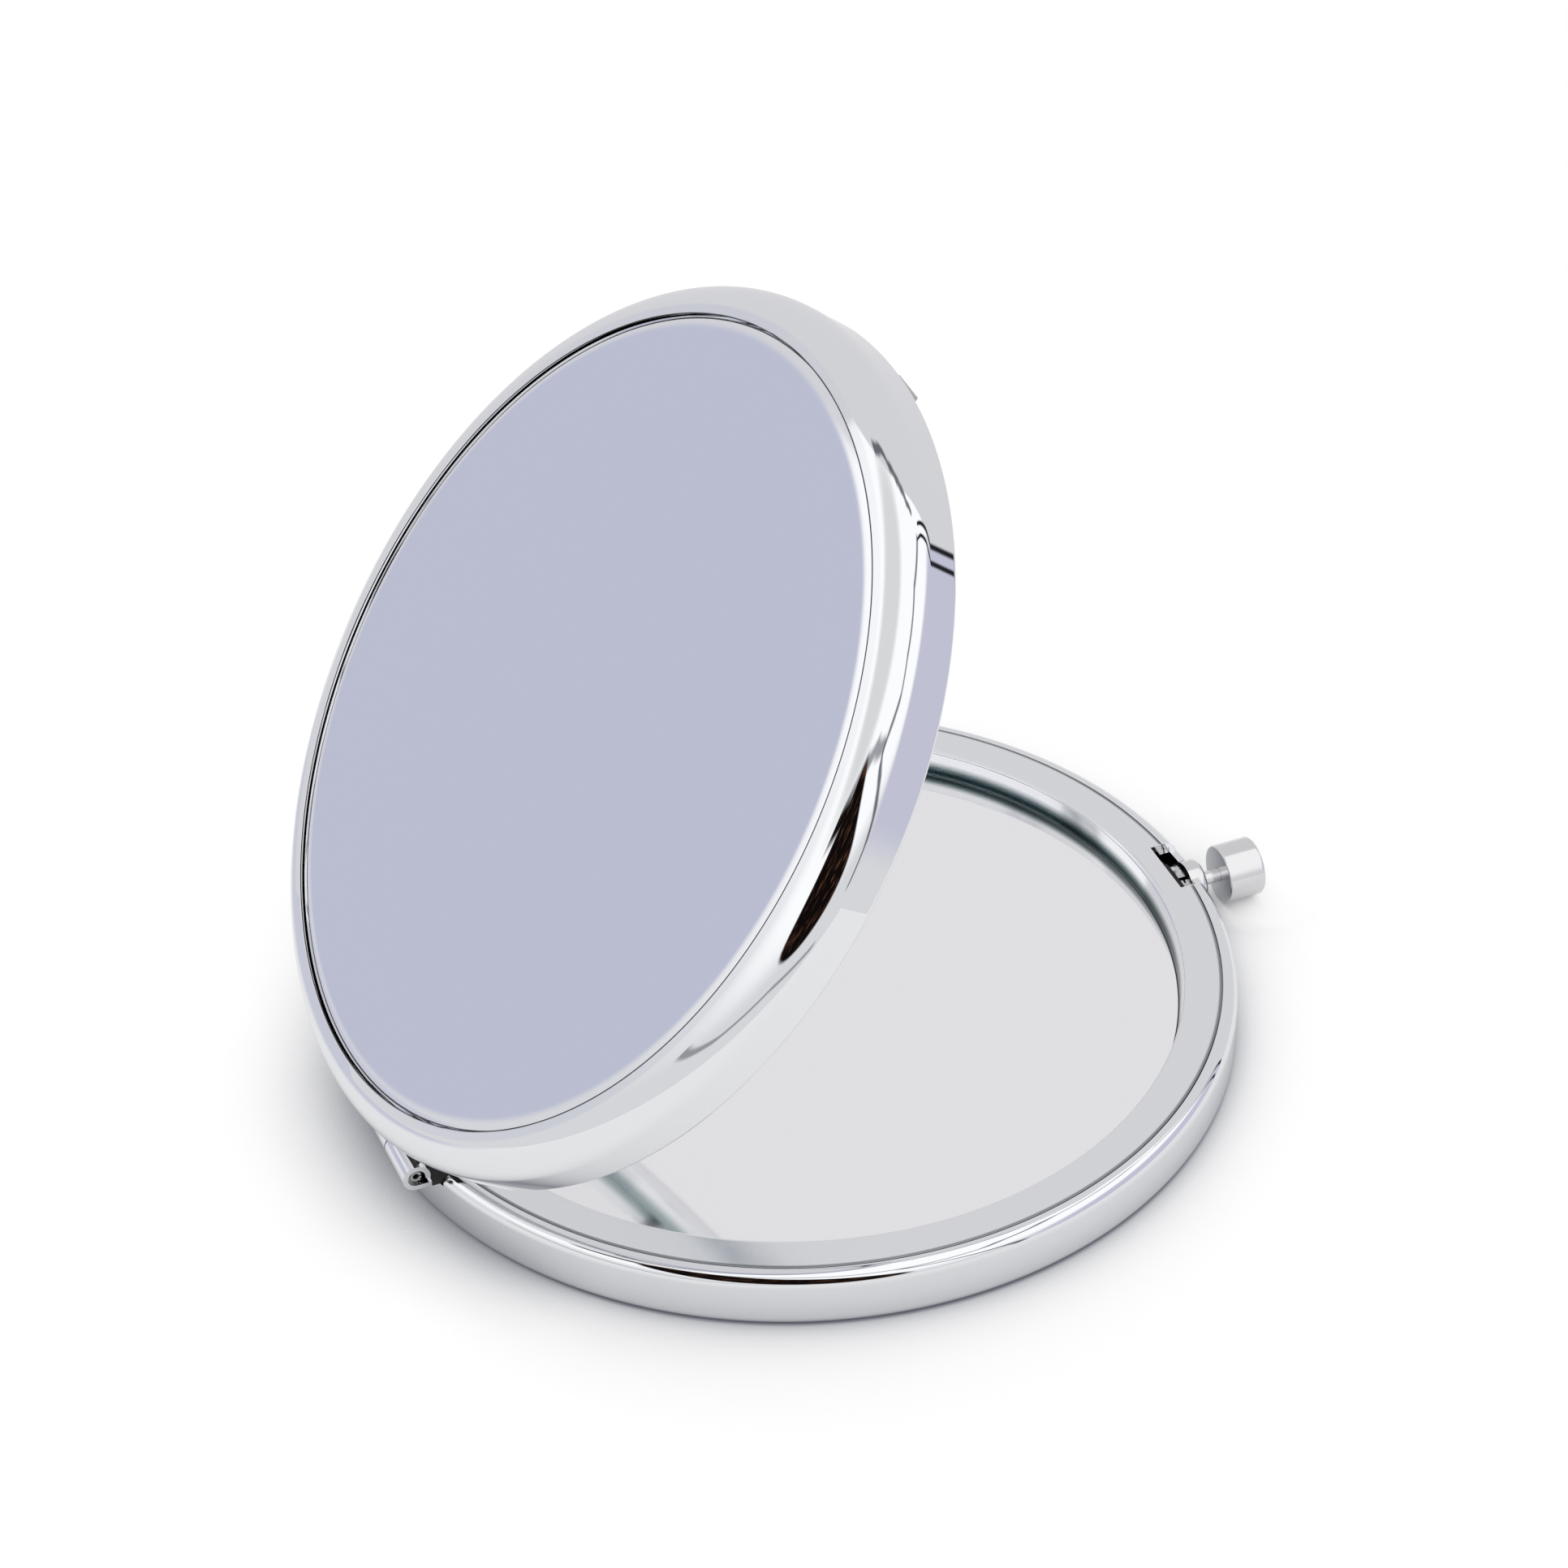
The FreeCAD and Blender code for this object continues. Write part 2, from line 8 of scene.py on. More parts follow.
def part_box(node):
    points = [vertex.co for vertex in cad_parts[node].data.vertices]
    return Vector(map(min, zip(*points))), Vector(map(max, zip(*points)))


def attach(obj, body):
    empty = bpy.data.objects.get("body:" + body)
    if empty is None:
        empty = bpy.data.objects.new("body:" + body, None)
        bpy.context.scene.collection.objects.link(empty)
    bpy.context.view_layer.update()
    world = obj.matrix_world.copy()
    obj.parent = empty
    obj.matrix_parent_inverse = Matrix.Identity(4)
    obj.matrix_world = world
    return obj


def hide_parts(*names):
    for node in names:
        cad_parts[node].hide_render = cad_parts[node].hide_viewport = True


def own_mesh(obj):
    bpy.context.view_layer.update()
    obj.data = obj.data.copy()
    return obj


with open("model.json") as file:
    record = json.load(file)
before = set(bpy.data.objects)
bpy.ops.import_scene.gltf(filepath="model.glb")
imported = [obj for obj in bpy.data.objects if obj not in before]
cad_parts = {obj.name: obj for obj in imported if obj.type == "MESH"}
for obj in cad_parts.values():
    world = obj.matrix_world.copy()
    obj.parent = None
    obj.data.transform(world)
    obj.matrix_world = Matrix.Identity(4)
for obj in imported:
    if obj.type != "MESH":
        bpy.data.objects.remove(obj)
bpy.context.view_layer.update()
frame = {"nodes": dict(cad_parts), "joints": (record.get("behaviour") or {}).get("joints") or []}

# Base cup
# The lower half's shell: thin steel sheet drawn to a shallow cup and plated with bright chrome.
# Its rim is curled in over the bezel, and it is pierced for the hinge, the catch and the button.
mm = 0.001
case_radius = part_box("base_shell")[1].y
base_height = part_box("base_shell")[1].z
sheet_thickness = 0.6 * mm
foot_radius = 0.8 * mm
lip_width = 1.2 * mm
lip_thickness = 0.5 * mm
lip_edge_radius = 0.08 * mm
hinge_joint, button_joint = frame["joints"]
hinge_point = Vector(hinge_joint["pos_m"])
hinge_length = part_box("base_hinge_leaf")[1].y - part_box("base_hinge_leaf")[0].y
hinge_notch_gap = 0.2 * mm
hinge_notch_depth = 1.2 * mm
notch_half = hinge_length / 2 + hinge_notch_gap
catch_slot_width = 5.6 * mm
catch_slot_length = 2.4 * mm
catch_slot_depth = 0.9 * mm
button_low, button_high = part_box("button_cap")
button_height = (button_low.z + button_high.z) / 2
bush_radius = 1.85 * mm
fit_gap = 0.02 * mm
overrun = 2.0 * mm


class Wire:
    """A socket of a node tree. Sums and products of wires add Math nodes to that tree."""

    def __init__(self, socket):
        self.socket = socket

    def node(self, kind, settings={}, sockets={}, give=0):
        """Adds a node: its settings first, then the values or links of its sockets."""
        tree = self.socket.id_data
        made = tree.nodes.new(kind)
        for name, value in settings.items():
            if name == "stops":
                while len(made.color_ramp.elements) < len(value):
                    made.color_ramp.elements.new(1.0)
                for stop, (position, colour) in zip(made.color_ramp.elements, value):
                    stop.position = position
                    stop.color = (*colour, 1.0)
            else:
                setattr(made, name, value)
        for key, value in sockets.items():
            if isinstance(value, Wire):
                tree.links.new(value.socket, made.inputs[key])
            else:
                made.inputs[key].default_value = value
        return Wire(made.outputs[give]) if made.outputs else None

    def maths(self, operation, first, second=0.0):
        return self.node("ShaderNodeMath", {"operation": operation}, {0: first, 1: second})

    def __add__(self, other):
        return self.maths("ADD", self, other)

    def __sub__(self, other):
        return self.maths("SUBTRACT", self, other)

    def __rsub__(self, other):
        return self.maths("SUBTRACT", other, self)

    def __mul__(self, other):
        return self.maths("MULTIPLY", self, other)

    def __truediv__(self, other):
        return self.maths("DIVIDE", self, other)

    __radd__ = __add__
    __rmul__ = __mul__


def new_finish(name):
    """An empty material and the wire of its object coordinates."""
    finish = bpy.data.materials.new(name)
    finish.use_nodes = True
    finish.node_tree.nodes.clear()
    return finish, Wire(finish.node_tree.nodes.new("ShaderNodeTexCoord").outputs["Object"])


def close_finish(spot, sockets, shader="ShaderNodeBsdfPrincipled"):
    """Ends a material in one shader with these sockets."""
    surface = spot.node(shader, {}, sockets)
    surface.node("ShaderNodeOutputMaterial", {}, {"Surface": surface})


def noise(spot, scale, detail):
    return spot.node("ShaderNodeTexNoise", {}, {"Vector": spot, "Scale": scale, "Detail": detail})


def shaded(value, *stops):
    """The shades of a ramp, given as (place, colour) stops, at a value."""
    return value.node("ShaderNodeValToRGB", {"stops": stops}, {0: value})


def plated(spot, shades, roughness, haziness):
    """Ends a chrome finish. The plating follows the rolled sheet, so reflections waver very slightly."""
    ripple = noise(spot, 150.0, 1.0)
    haze = noise(spot, 900.0, 4.0)
    wavering = spot.node("ShaderNodeBump", {}, {"Strength": 0.1, "Distance": 0.01 * mm, "Height": ripple})
    close_finish(spot, {
        "Base Color": shades,
        "Metallic": 1.0,
        "Roughness": roughness + haziness * haze,
        "Normal": wavering,
    })


plating = (0.80, 0.81, 0.83)
chrome, spot = new_finish("bright_chrome")
plated(spot, (*plating, 1.0), roughness=0.0, haziness=0.003)


def rounded_outline(corners, turn=math.radians(6), guard=0.03 * mm):
    """Points of an outline with corners (across, along, radius), and guard points beside its arcs."""
    points = [Vector((across, along)) for across, along, radius in corners]
    count = len(points)

    def sides(number):
        back = points[number - 1] - points[number]
        ahead = points[(number + 1) % count] - points[number]
        return back, ahead

    def reach(number):
        radius = corners[number % count][2]
        if not radius:
            return 0.0
        back, ahead = sides(number % count)
        return radius / math.tan(back.angle(ahead) / 2)

    line = []
    for number, (across, along, radius) in enumerate(corners):
        corner = points[number]
        if not radius:
            line.append(corner)
            continue
        back, ahead = sides(number)
        room_back = back.length - reach(number) - reach(number - 1)
        room_ahead = ahead.length - reach(number) - reach(number + 1)
        back, ahead = back.normalized(), ahead.normalized()
        centre = corner + (back + ahead).normalized() * (radius / math.sin(back.angle(ahead) / 2))
        start = corner + back * reach(number) - centre
        sweep = start.angle_signed(corner + ahead * reach(number) - centre)
        steps = max(3, math.ceil(abs(sweep) / turn))
        if room_back > 2 * guard:
            line.append(corner + back * (reach(number) + guard))
        line += [centre + Matrix.Rotation(-sweep * step / steps, 2) @ start for step in range(steps + 1)]
        if room_ahead > 2 * guard:
            line.append(corner + ahead * (reach(number) + guard))
    return line


def turning_tree():
    """Node tree that turns a section, given as points in the XZ plane, about the Z axis."""
    tree = bpy.data.node_groups.new("turned_sheet", "GeometryNodeTree")
    for name, kind in (("Section", "Geometry"), ("Points", "Int"), ("Rows", "Int"), ("Steps", "Int"),
                       ("Finish", "Material")):
        tree.interface.new_socket(name, in_out="INPUT", socket_type="NodeSocket" + kind)
    tree.interface.new_socket("Piece", in_out="OUTPUT", socket_type="NodeSocketGeometry")
    given = tree.nodes.new("NodeGroupInput").outputs
    section, points, rows, steps, finish = [Wire(given[number]) for number in range(5)]
    grid = rows.node("GeometryNodeMeshGrid", {}, {"Vertices X": steps + 1.0, "Vertices Y": rows})
    index = rows.node("GeometryNodeInputIndex")
    column = index.maths("FLOOR", (index + 0.5) / rows)
    row = index - column * rows
    station = row.maths("MODULO", row + 0.5, points)
    spot = section.node("GeometryNodeSampleIndex", {"data_type": "FLOAT_VECTOR"}, {
        "Geometry": section,
        "Value": section.node("GeometryNodeInputPosition"),
        "Index": station.maths("FLOOR", station),
    })
    radius = spot.node("ShaderNodeSeparateXYZ", {}, {0: spot}, give=0)
    height = spot.node("ShaderNodeSeparateXYZ", {}, {0: spot}, give=2)
    angle = column * (2 * math.pi) / steps
    swung = angle.node("ShaderNodeCombineXYZ", {}, {
        0: radius * angle.maths("COSINE", angle),
        1: radius * angle.maths("SINE", angle),
        2: height,
    })
    turned_mesh = grid.node("GeometryNodeSetPosition", {}, {"Geometry": grid, "Position": swung})
    merged = grid.node("GeometryNodeMergeByDistance", {}, {"Geometry": turned_mesh, "Distance": 1e-7})
    real = grid.node("GeometryNodeRealizeInstances", {}, {"Geometry": merged})
    dressed = grid.node("GeometryNodeSetMaterial", {}, {"Geometry": real, "Material": finish})
    grid.node("NodeGroupOutput", {}, {0: dressed})
    return tree


def new_piece(name, mesh):
    piece = bpy.data.objects.new(name, mesh)
    bpy.context.scene.collection.objects.link(piece)
    return piece


def settle(piece):
    """Turns a piece with modifiers into a plain mesh."""
    graph = bpy.context.evaluated_depsgraph_get()
    piece.data = bpy.data.meshes.new_from_object(piece.evaluated_get(graph))
    piece.modifiers.clear()
    return piece


def shaped_by(tree, piece, **inputs):
    """Runs a node tree on a piece's mesh, with the tree's named inputs, and keeps the result."""
    modifier = piece.modifiers.new(tree.name, "NODES")
    modifier.node_group = tree
    for item in tree.interface.items_tree:
        if item.name in inputs:
            modifier[item.identifier] = inputs[item.name]
    return settle(piece)


def smoothed(piece, sharp=math.radians(28)):
    """Merges doubles, turns the faces outward, and shades round faces smooth between sharp edges."""
    shape = bmesh.new()
    shape.from_mesh(piece.data)
    bmesh.ops.remove_doubles(shape, verts=shape.verts, dist=1e-7)
    bmesh.ops.dissolve_degenerate(shape, edges=shape.edges, dist=1e-8)
    bmesh.ops.recalc_face_normals(shape, faces=shape.faces)
    shape.to_mesh(piece.data)
    piece.data.polygons.foreach_set("use_smooth", [True] * len(piece.data.polygons))
    piece.data.set_sharp_from_angle(angle=sharp)
    return piece


turned_sheet = turning_tree()


def turned(name, outline, finish, steps=360, closed=False):
    """A piece turned about Z from outline points (radius, height)."""
    mesh = bpy.data.meshes.new(name)
    mesh.from_pydata([(across, 0, along) for across, along in outline], [], [])
    rows = len(outline) + (1 if closed else 0)
    piece = new_piece(name, mesh)
    smoothed(shaped_by(turned_sheet, piece, Points=len(outline), Rows=rows, Steps=steps, Finish=finish))
    from_axis = [vertex.co.xy.length for vertex in piece.data.vertices]
    piece.data.attributes.new("from_axis", "FLOAT", "POINT").data.foreach_set("value", from_axis)
    return piece


def block(low, high):
    """A rectangular cutter between two corners."""
    shape = bmesh.new()
    bmesh.ops.create_cube(shape, size=1.0)
    low, high = Vector(low), Vector(high)
    for vertex in shape.verts:
        vertex.co = (low + high) / 2 + vertex.co * (high - low)
    mesh = bpy.data.meshes.new("cutter")
    shape.to_mesh(mesh)
    return new_piece("cutter", mesh)


def rod(radius, low_x, high_x, height):
    """A round cutter along X."""
    shape = bmesh.new()
    bmesh.ops.create_cone(
        shape, cap_ends=True, segments=96, radius1=radius, radius2=radius, depth=high_x - low_x)
    middle = Matrix.Translation(((low_x + high_x) / 2, 0, height))
    shape.transform(middle @ Matrix.Rotation(math.pi / 2, 4, "Y"))
    mesh = bpy.data.meshes.new("cutter")
    shape.to_mesh(mesh)
    return new_piece("cutter", mesh)


def cut(piece, *cutters, operation="DIFFERENCE"):
    """Takes the cutters out of a piece, or joins them to it, and deletes them."""
    for cutter in cutters:
        modifier = piece.modifiers.new("cut", "BOOLEAN")
        modifier.operation = operation
        modifier.object = cutter
    settle(piece)
    for cutter in cutters:
        bpy.data.objects.remove(cutter)
    return piece


def fitted(piece, body, node):
    """Fixes a piece to its body in place of a solid."""
    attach(piece, body)
    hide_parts(node)


# Painted shade: faces in the recesses, such as the pierced edges, the cup's floor and the insides of the
# slot and notch, get a near-black finish with a faint mottle that stands for the shade there.
painted_shade_finish, spot = new_finish("painted_shade_steel")
mottle = noise(spot, 1500.0, 5.0)
close_finish(spot, {
    "Base Color": shaded(mottle, (0.3, (0.010, 0.010, 0.011)), (0.7, (0.030, 0.029, 0.028))),
    "Metallic": 0.4,
    "Roughness": 0.4 + 0.2 * mottle,
})


def paint_shade_in_box(piece, low, high):
    """Gives the faces inside a box the near-black painted shade."""
    if painted_shade_finish.name not in piece.data.materials:
        piece.data.materials.append(painted_shade_finish)
    low = [edge - fit_gap for edge in low]
    high = [edge + fit_gap for edge in high]
    for face in piece.data.polygons:
        spots = [piece.data.vertices[number].co for number in face.vertices]
        if all(low[axis] < spot[axis] < high[axis] for spot in spots for axis in range(3)):
            face.material_index = 1
    return piece


lip_radius = case_radius - lip_width
inner_radius = case_radius - sheet_thickness
lip_bottom = base_height - lip_thickness
base_cup = turned("base_cup", rounded_outline([
    (0, 0, 0),
    (case_radius, 0, foot_radius),
    (case_radius, base_height, lip_width - lip_edge_radius),
    (lip_radius, base_height, lip_edge_radius),
    (lip_radius, lip_bottom, 0),
    (inner_radius, lip_bottom, 0),
    (inner_radius, sheet_thickness, 0),
    (0, sheet_thickness, 0),
]), chrome)


def hinge_notch(low_z, high_z):
    return block((hinge_point.x - overrun, -notch_half, low_z), (0, notch_half, high_z))


slot_start = case_radius - catch_slot_length
slot_floor = base_height - catch_slot_depth
slot_half = catch_slot_width / 2
notch_floor = base_height - hinge_notch_depth
clear_of_cup = base_height + overrun
cut(
    base_cup,
    hinge_notch(notch_floor, clear_of_cup),
    block((slot_start, -slot_half, slot_floor), (case_radius + overrun, slot_half, clear_of_cup)),
    rod(bush_radius + fit_gap, inner_radius - overrun, case_radius + overrun, button_height),
)
smoothed(base_cup)
# Painted shade on the faces of the catch slot, the inner wall beside it, the cup's floor and the hinge
# notch.
for low, high in (
        ((slot_start, -slot_half, slot_floor), (case_radius, slot_half, base_height)),
        ((slot_start, -catch_slot_width, 0), (inner_radius, catch_slot_width, lip_bottom)),
        ((-inner_radius, -inner_radius, sheet_thickness), (inner_radius, inner_radius, sheet_thickness)),
        ((-case_radius, -notch_half, notch_floor), (0, notch_half, base_height))):
    paint_shade_in_box(base_cup, low, high)
fitted(base_cup, "base", "base_shell")

# Base bezel
# A pressed ring in the same chromed sheet, dropped into the cup before its rim is curled over the flange.
# Its inner wall leans over the glass and its skirt stands on the cup's floor.
ring_width = 3.0 * mm
ring_thickness = 0.6 * mm
ring_inner_edge = 0.3 * mm
bezel_wall = 0.25 * mm
bezel_lean = 0.4 * mm
seam_shade_start = 0.3 * mm
seam_shade_end = 0.1 * mm
skirt_thickness = 0.3 * mm
flange_width = 0.95 * mm
flange_thickness = 0.48 * mm
seam_gap = 0.06 * mm
press_gap = 0.05 * mm
glass_thickness = 1.2 * mm
base_glass_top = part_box("base_mirror")[1].z
ring_radius = lip_radius - seam_gap
ring_inner_radius = lip_radius - ring_width
skirt_radius = ring_inner_radius + bezel_wall
flange_radius = inner_radius - press_gap


def bezel_outline(mating, inward, glass_front, floor):
    """Section of a bezel, from its mating plane inward (-1 down into the base, 1 up into the lid)."""
    def level(depth):
        return mating + inward * depth

    flange_top = lip_thickness + fit_gap
    lip_level = glass_front - inward * fit_gap
    skirt_end = floor - inward * press_gap
    return rounded_outline([
        (ring_inner_radius, level(0), ring_inner_edge),
        (ring_radius, level(0), lip_edge_radius),
        (ring_radius, level(flange_top), 0),
        (flange_radius, level(flange_top), 0),
        (flange_radius, level(flange_top + flange_thickness), 0),
        (flange_radius - flange_width, level(flange_top + flange_thickness), 0),
        (flange_radius - flange_width, level(ring_thickness), 0),
        (skirt_radius, level(ring_thickness), 0),
        (skirt_radius, skirt_end, 0),
        (skirt_radius - skirt_thickness, skirt_end, 0),
        (skirt_radius - skirt_thickness, lip_level, 0),
        (ring_inner_radius - bezel_lean, lip_level, 0),
    ])


def flange_gap(mating, inward, side, width):
    """Cutter that opens the flange on one side of the bezel and leaves the ring above it."""
    def level(depth):
        return mating + inward * depth

    flange_end = lip_thickness + flange_thickness + overrun
    sector = turned("cutter", rounded_outline([
        (ring_radius - fit_gap, level(-overrun), 0),
        (case_radius + overrun, level(-overrun), 0),
        (case_radius + overrun, level(flange_end), 0),
        (flange_radius - flange_width - fit_gap, level(flange_end), 0),
        (flange_radius - flange_width - fit_gap, level(ring_thickness - fit_gap), 0),
        (ring_radius - fit_gap, level(ring_thickness - fit_gap), 0),
    ]), chrome, closed=True)
    low_x, high_x = sorted((0, side * (case_radius + 2 * overrun)))
    height = sheet_thickness + case_radius
    keep = block((low_x, -width / 2, mating - height), (high_x, width / 2, mating + height))
    return cut(sector, keep, operation="INTERSECT")


def eased(value, start, end, first=1.0, last=0.0):
    """Goes softly from one level to another between two places."""
    return value.node("ShaderNodeMapRange", {"interpolation_type": "SMOOTHSTEP"}, {
        "Value": value, "From Min": start, "From Max": end, "To Min": first, "To Max": last})


def blended(share, first, second):
    """Goes from the first shade to the second, each a wire or a colour, by a share."""
    first, second = [shade if isinstance(shade, Wire) else (*shade, 1.0) for shade in (first, second)]
    return share.node("ShaderNodeMix", {"data_type": "RGBA"}, {0: share, 6: first, 7: second}, give=2)


def ring_finish(name, painted_darkest, painted_middling):
    """Chrome of a bezel, with painted shade at the foot of the leaning wall, in the shades given, that
    stands for the dark line where the glass meets the wall, and painted shade in the seam beneath the curl."""
    finish, spot = new_finish(name)
    from_axis = spot.node("ShaderNodeAttribute", {"attribute_name": "from_axis"}, give=2)
    up_wall = (from_axis - ring_inner_radius + bezel_lean) / bezel_lean + 0.05
    # Painted shade: a dark band at the foot of the leaning wall.
    wall_painted_shade = shaded(
        up_wall, (0.00, plating), (0.05, painted_middling), (0.12, painted_darkest), (0.24, painted_darkest), (0.38, painted_middling),
        (0.65, plating))
    # Painted shade in the seam beneath the curl.
    seam_painted_shade = eased(from_axis, ring_radius - seam_shade_start, ring_radius - seam_shade_end, 0.0, 0.75)
    plated(spot, blended(seam_painted_shade, wall_painted_shade, (0.10, 0.11, 0.12)), roughness=0.09, haziness=0.04)
    return finish


# The base bezel's painted shade at the wall's foot is near black, with a teal tint.
ring_chrome = ring_finish("base_ring_chrome", (0.015, 0.028, 0.033), (0.12, 0.16, 0.165))
base_section = bezel_outline(base_height, -1, base_glass_top, sheet_thickness)
base_bezel = turned("base_bezel", base_section, ring_chrome, closed=True)
cut(
    base_bezel,
    flange_gap(base_height, -1, -1, 2 * notch_half),
    block((slot_start, -slot_half, 0), (case_radius, slot_half, clear_of_cup)),
)
smoothed(base_bezel)
# Painted shade on the bezel's faces in the catch slot.
paint_shade_in_box(base_bezel, (slot_start, -slot_half, 0), (case_radius, slot_half, base_height))
fitted(base_bezel, "base", "base_frame")

# Base foam
# A die-cut disc of white closed-cell foam that presses the glass up against the bezel.
# It hides between the glass and the cup's floor.
foam_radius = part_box("base_mirror_pad")[1].y
foam_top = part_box("base_mirror_pad")[1].z
foam, spot = new_finish("white_foam")
cells = spot.node("ShaderNodeTexVoronoi", {}, {"Vector": spot, "Scale": 2500.0})
pitted = spot.node("ShaderNodeBump", {}, {"Strength": 0.5, "Distance": 0.1 * mm, "Height": cells})
close_finish(spot, {
    "Base Color": shaded(cells, (0.0, (0.70, 0.70, 0.68)), (1.0, (0.84, 0.84, 0.82))),
    "Roughness": 0.9,
    "Normal": pitted,
})
base_foam = turned("base_foam", rounded_outline([
    (0, sheet_thickness, 0),
    (foam_radius, sheet_thickness, 0),
    (foam_radius, foam_top, 0),
    (0, foam_top, 0),
]), foam, steps=120)
fitted(base_foam, "base", "base_mirror_pad")

# Base glass
# A flat disc of thin float glass, silvered behind and with its edge ground to a small bevel.
# Towards the edge the unsilvered border looks almost black, with the glass's green in it.
glass_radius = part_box("base_mirror")[1].y
glass_bevel = 0.15 * mm
dark_border = 0.06 * mm
border_softness = 0.03 * mm
mirror, spot = new_finish("silvered_glass")
from_axis = spot.node("ShaderNodeAttribute", {"attribute_name": "from_axis"}, give=2)
silver_end = ring_inner_radius - bezel_lean - dark_border
silvered = eased(from_axis, silver_end - border_softness, silver_end + border_softness)
dust = noise(spot, 400.0, 3.0)
close_finish(spot, {
    "Base Color": blended(silvered, (0.010, 0.022, 0.026), (0.94, 0.94, 0.95)),
    "Metallic": silvered,
    "Roughness": 0.03 + 0.015 * dust,
    "Coat Weight": 0.3 * silvered,
    "Coat Roughness": 0.01,
})
base_glass = turned("base_glass", rounded_outline([
    (0, base_glass_top - glass_thickness, 0),
    (glass_radius, base_glass_top - glass_thickness, 0),
    (glass_radius, base_glass_top - glass_bevel, 0),
    (glass_radius - glass_bevel, base_glass_top, 0),
    (0, base_glass_top, 0),
]), mirror)
fitted(base_glass, "base", "base_mirror")

# Hinge strips
# Two strips of the chromed sheet, each rolled round the pin at its own knuckles, three on the base
# and two on the lid, with a flat tail that is spot welded beneath the bezel's ring.
leaf_thickness = 0.4 * mm
leaf_reach = 2.8 * mm
knuckle_count = 5
knuckle_gap = 0.06 * mm
knuckle_open = math.radians(75)
roll_steps = 60
tail_edge_steps = 20
parting_gap = 2 * (hinge_point.z - base_height)
knuckle_radius = ring_thickness + leaf_thickness + parting_gap / 2
knuckle_pitch = hinge_length / knuckle_count
lid_swing = (
    Matrix.Translation(hinge_point)
    @ Matrix.Rotation(-math.radians(hinge_joint["range_deg"][0]), 4, Vector(hinge_joint["axis"]))
    @ Matrix.Translation(-hinge_point)
)


def prism(name, outline, low_y, high_y, finish):
    """A piece of one section (x, z) between two places along Y."""
    shape = bmesh.new()
    ring = [shape.verts.new((across, low_y, along)) for across, along in outline]
    face = shape.faces.new(ring)
    lifted = bmesh.ops.extrude_face_region(shape, geom=[face])["geom"]
    bmesh.ops.translate(shape, vec=(0, high_y - low_y, 0),
                        verts=[part for part in lifted if isinstance(part, bmesh.types.BMVert)])
    bmesh.ops.recalc_face_normals(shape, faces=shape.faces)
    mesh = bpy.data.meshes.new(name)
    shape.to_mesh(mesh)
    mesh.materials.append(finish)
    return new_piece(name, mesh)


def knuckle_row_tree():
    """Node tree that repeats a knuckle along the hinge."""
    tree = bpy.data.node_groups.new("knuckle_row", "GeometryNodeTree")
    for name, kind in (
            ("Knuckle", "Geometry"), ("Count", "Int"), ("Spacing", "Float"), ("Finish", "Material")):
        tree.interface.new_socket(name, in_out="INPUT", socket_type="NodeSocket" + kind)
    tree.interface.new_socket("Row", in_out="OUTPUT", socket_type="NodeSocketGeometry")
    given = tree.nodes.new("NodeGroupInput").outputs
    knuckle, count, spacing, finish = [Wire(given[number]) for number in range(4)]
    step = spacing.node("ShaderNodeCombineXYZ", {}, {1: spacing})
    places = count.node("GeometryNodeMeshLine", {}, {"Count": count, "Offset": step})
    row = places.node("GeometryNodeInstanceOnPoints", {}, {"Points": places, "Instance": knuckle})
    real = row.node("GeometryNodeRealizeInstances", {}, {"Geometry": row})
    dressed = row.node("GeometryNodeSetMaterial", {}, {"Geometry": real, "Material": finish})
    row.node("NodeGroupOutput", {}, {0: dressed})
    return tree


knuckle_row = knuckle_row_tree()
lid_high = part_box("lid_shell")[1].z


def hinge_strip(name, first, inward):
    """One strip: its knuckles from the first of its own, and the tail that joins them."""
    mating = hinge_point.z + inward * parting_gap / 2
    tail_top = mating + inward * ring_thickness
    tail_bottom = tail_top + inward * leaf_thickness
    tail_end = hinge_point.x + knuckle_radius + knuckle_gap

    def around(radius, share):
        angle = inward * (math.pi / 2 + share * (2 * math.pi - knuckle_open))
        return Vector((hinge_point.x + radius * math.cos(angle), hinge_point.z + radius * math.sin(angle)))

    shares = [step / roll_steps for step in range(roll_steps + 1)]
    roll = [around(knuckle_radius, share) for share in shares]
    roll += [around(knuckle_radius - leaf_thickness, share) for share in reversed(shares)]
    roll += [Vector((tail_end + knuckle_gap, tail_top)), Vector((tail_end + knuckle_gap, tail_bottom))]
    low_y = first * knuckle_pitch - hinge_length / 2 + knuckle_gap
    strip = prism(name, roll, low_y, low_y + knuckle_pitch - 2 * knuckle_gap, chrome)
    count = (knuckle_count + 1 - first) // 2
    shaped_by(knuckle_row, strip, Count=count, Spacing=2 * knuckle_pitch, Finish=chrome)
    reach = case_radius - leaf_reach
    half = hinge_length / 2
    places = [half * step / tail_edge_steps for step in range(-tail_edge_steps, tail_edge_steps + 1)]
    curve = [Vector((-math.sqrt(reach ** 2 - place ** 2), place)) for place in places]
    outline = [Vector((tail_end, -half)), *curve, Vector((tail_end, half))]
    tail = prism("tail", outline, min(tail_top, tail_bottom), max(tail_top, tail_bottom), chrome)
    laid_flat = Matrix(((1, 0, 0, 0), (0, 0, 1, 0), (0, 1, 0, 0), (0, 0, 0, 1)))
    tail.data.transform(laid_flat)
    tail.data.flip_normals()
    smoothed(cut(strip, tail, operation="UNION"))
    # The tail inside the case takes the painted shade.
    return paint_shade_in_box(strip, (tail_end - knuckle_gap, -half, 0), (0, half, lid_high))


base_strip = hinge_strip("base_hinge_strip", 0, -1)
fitted(base_strip, "base", "base_hinge_leaf")

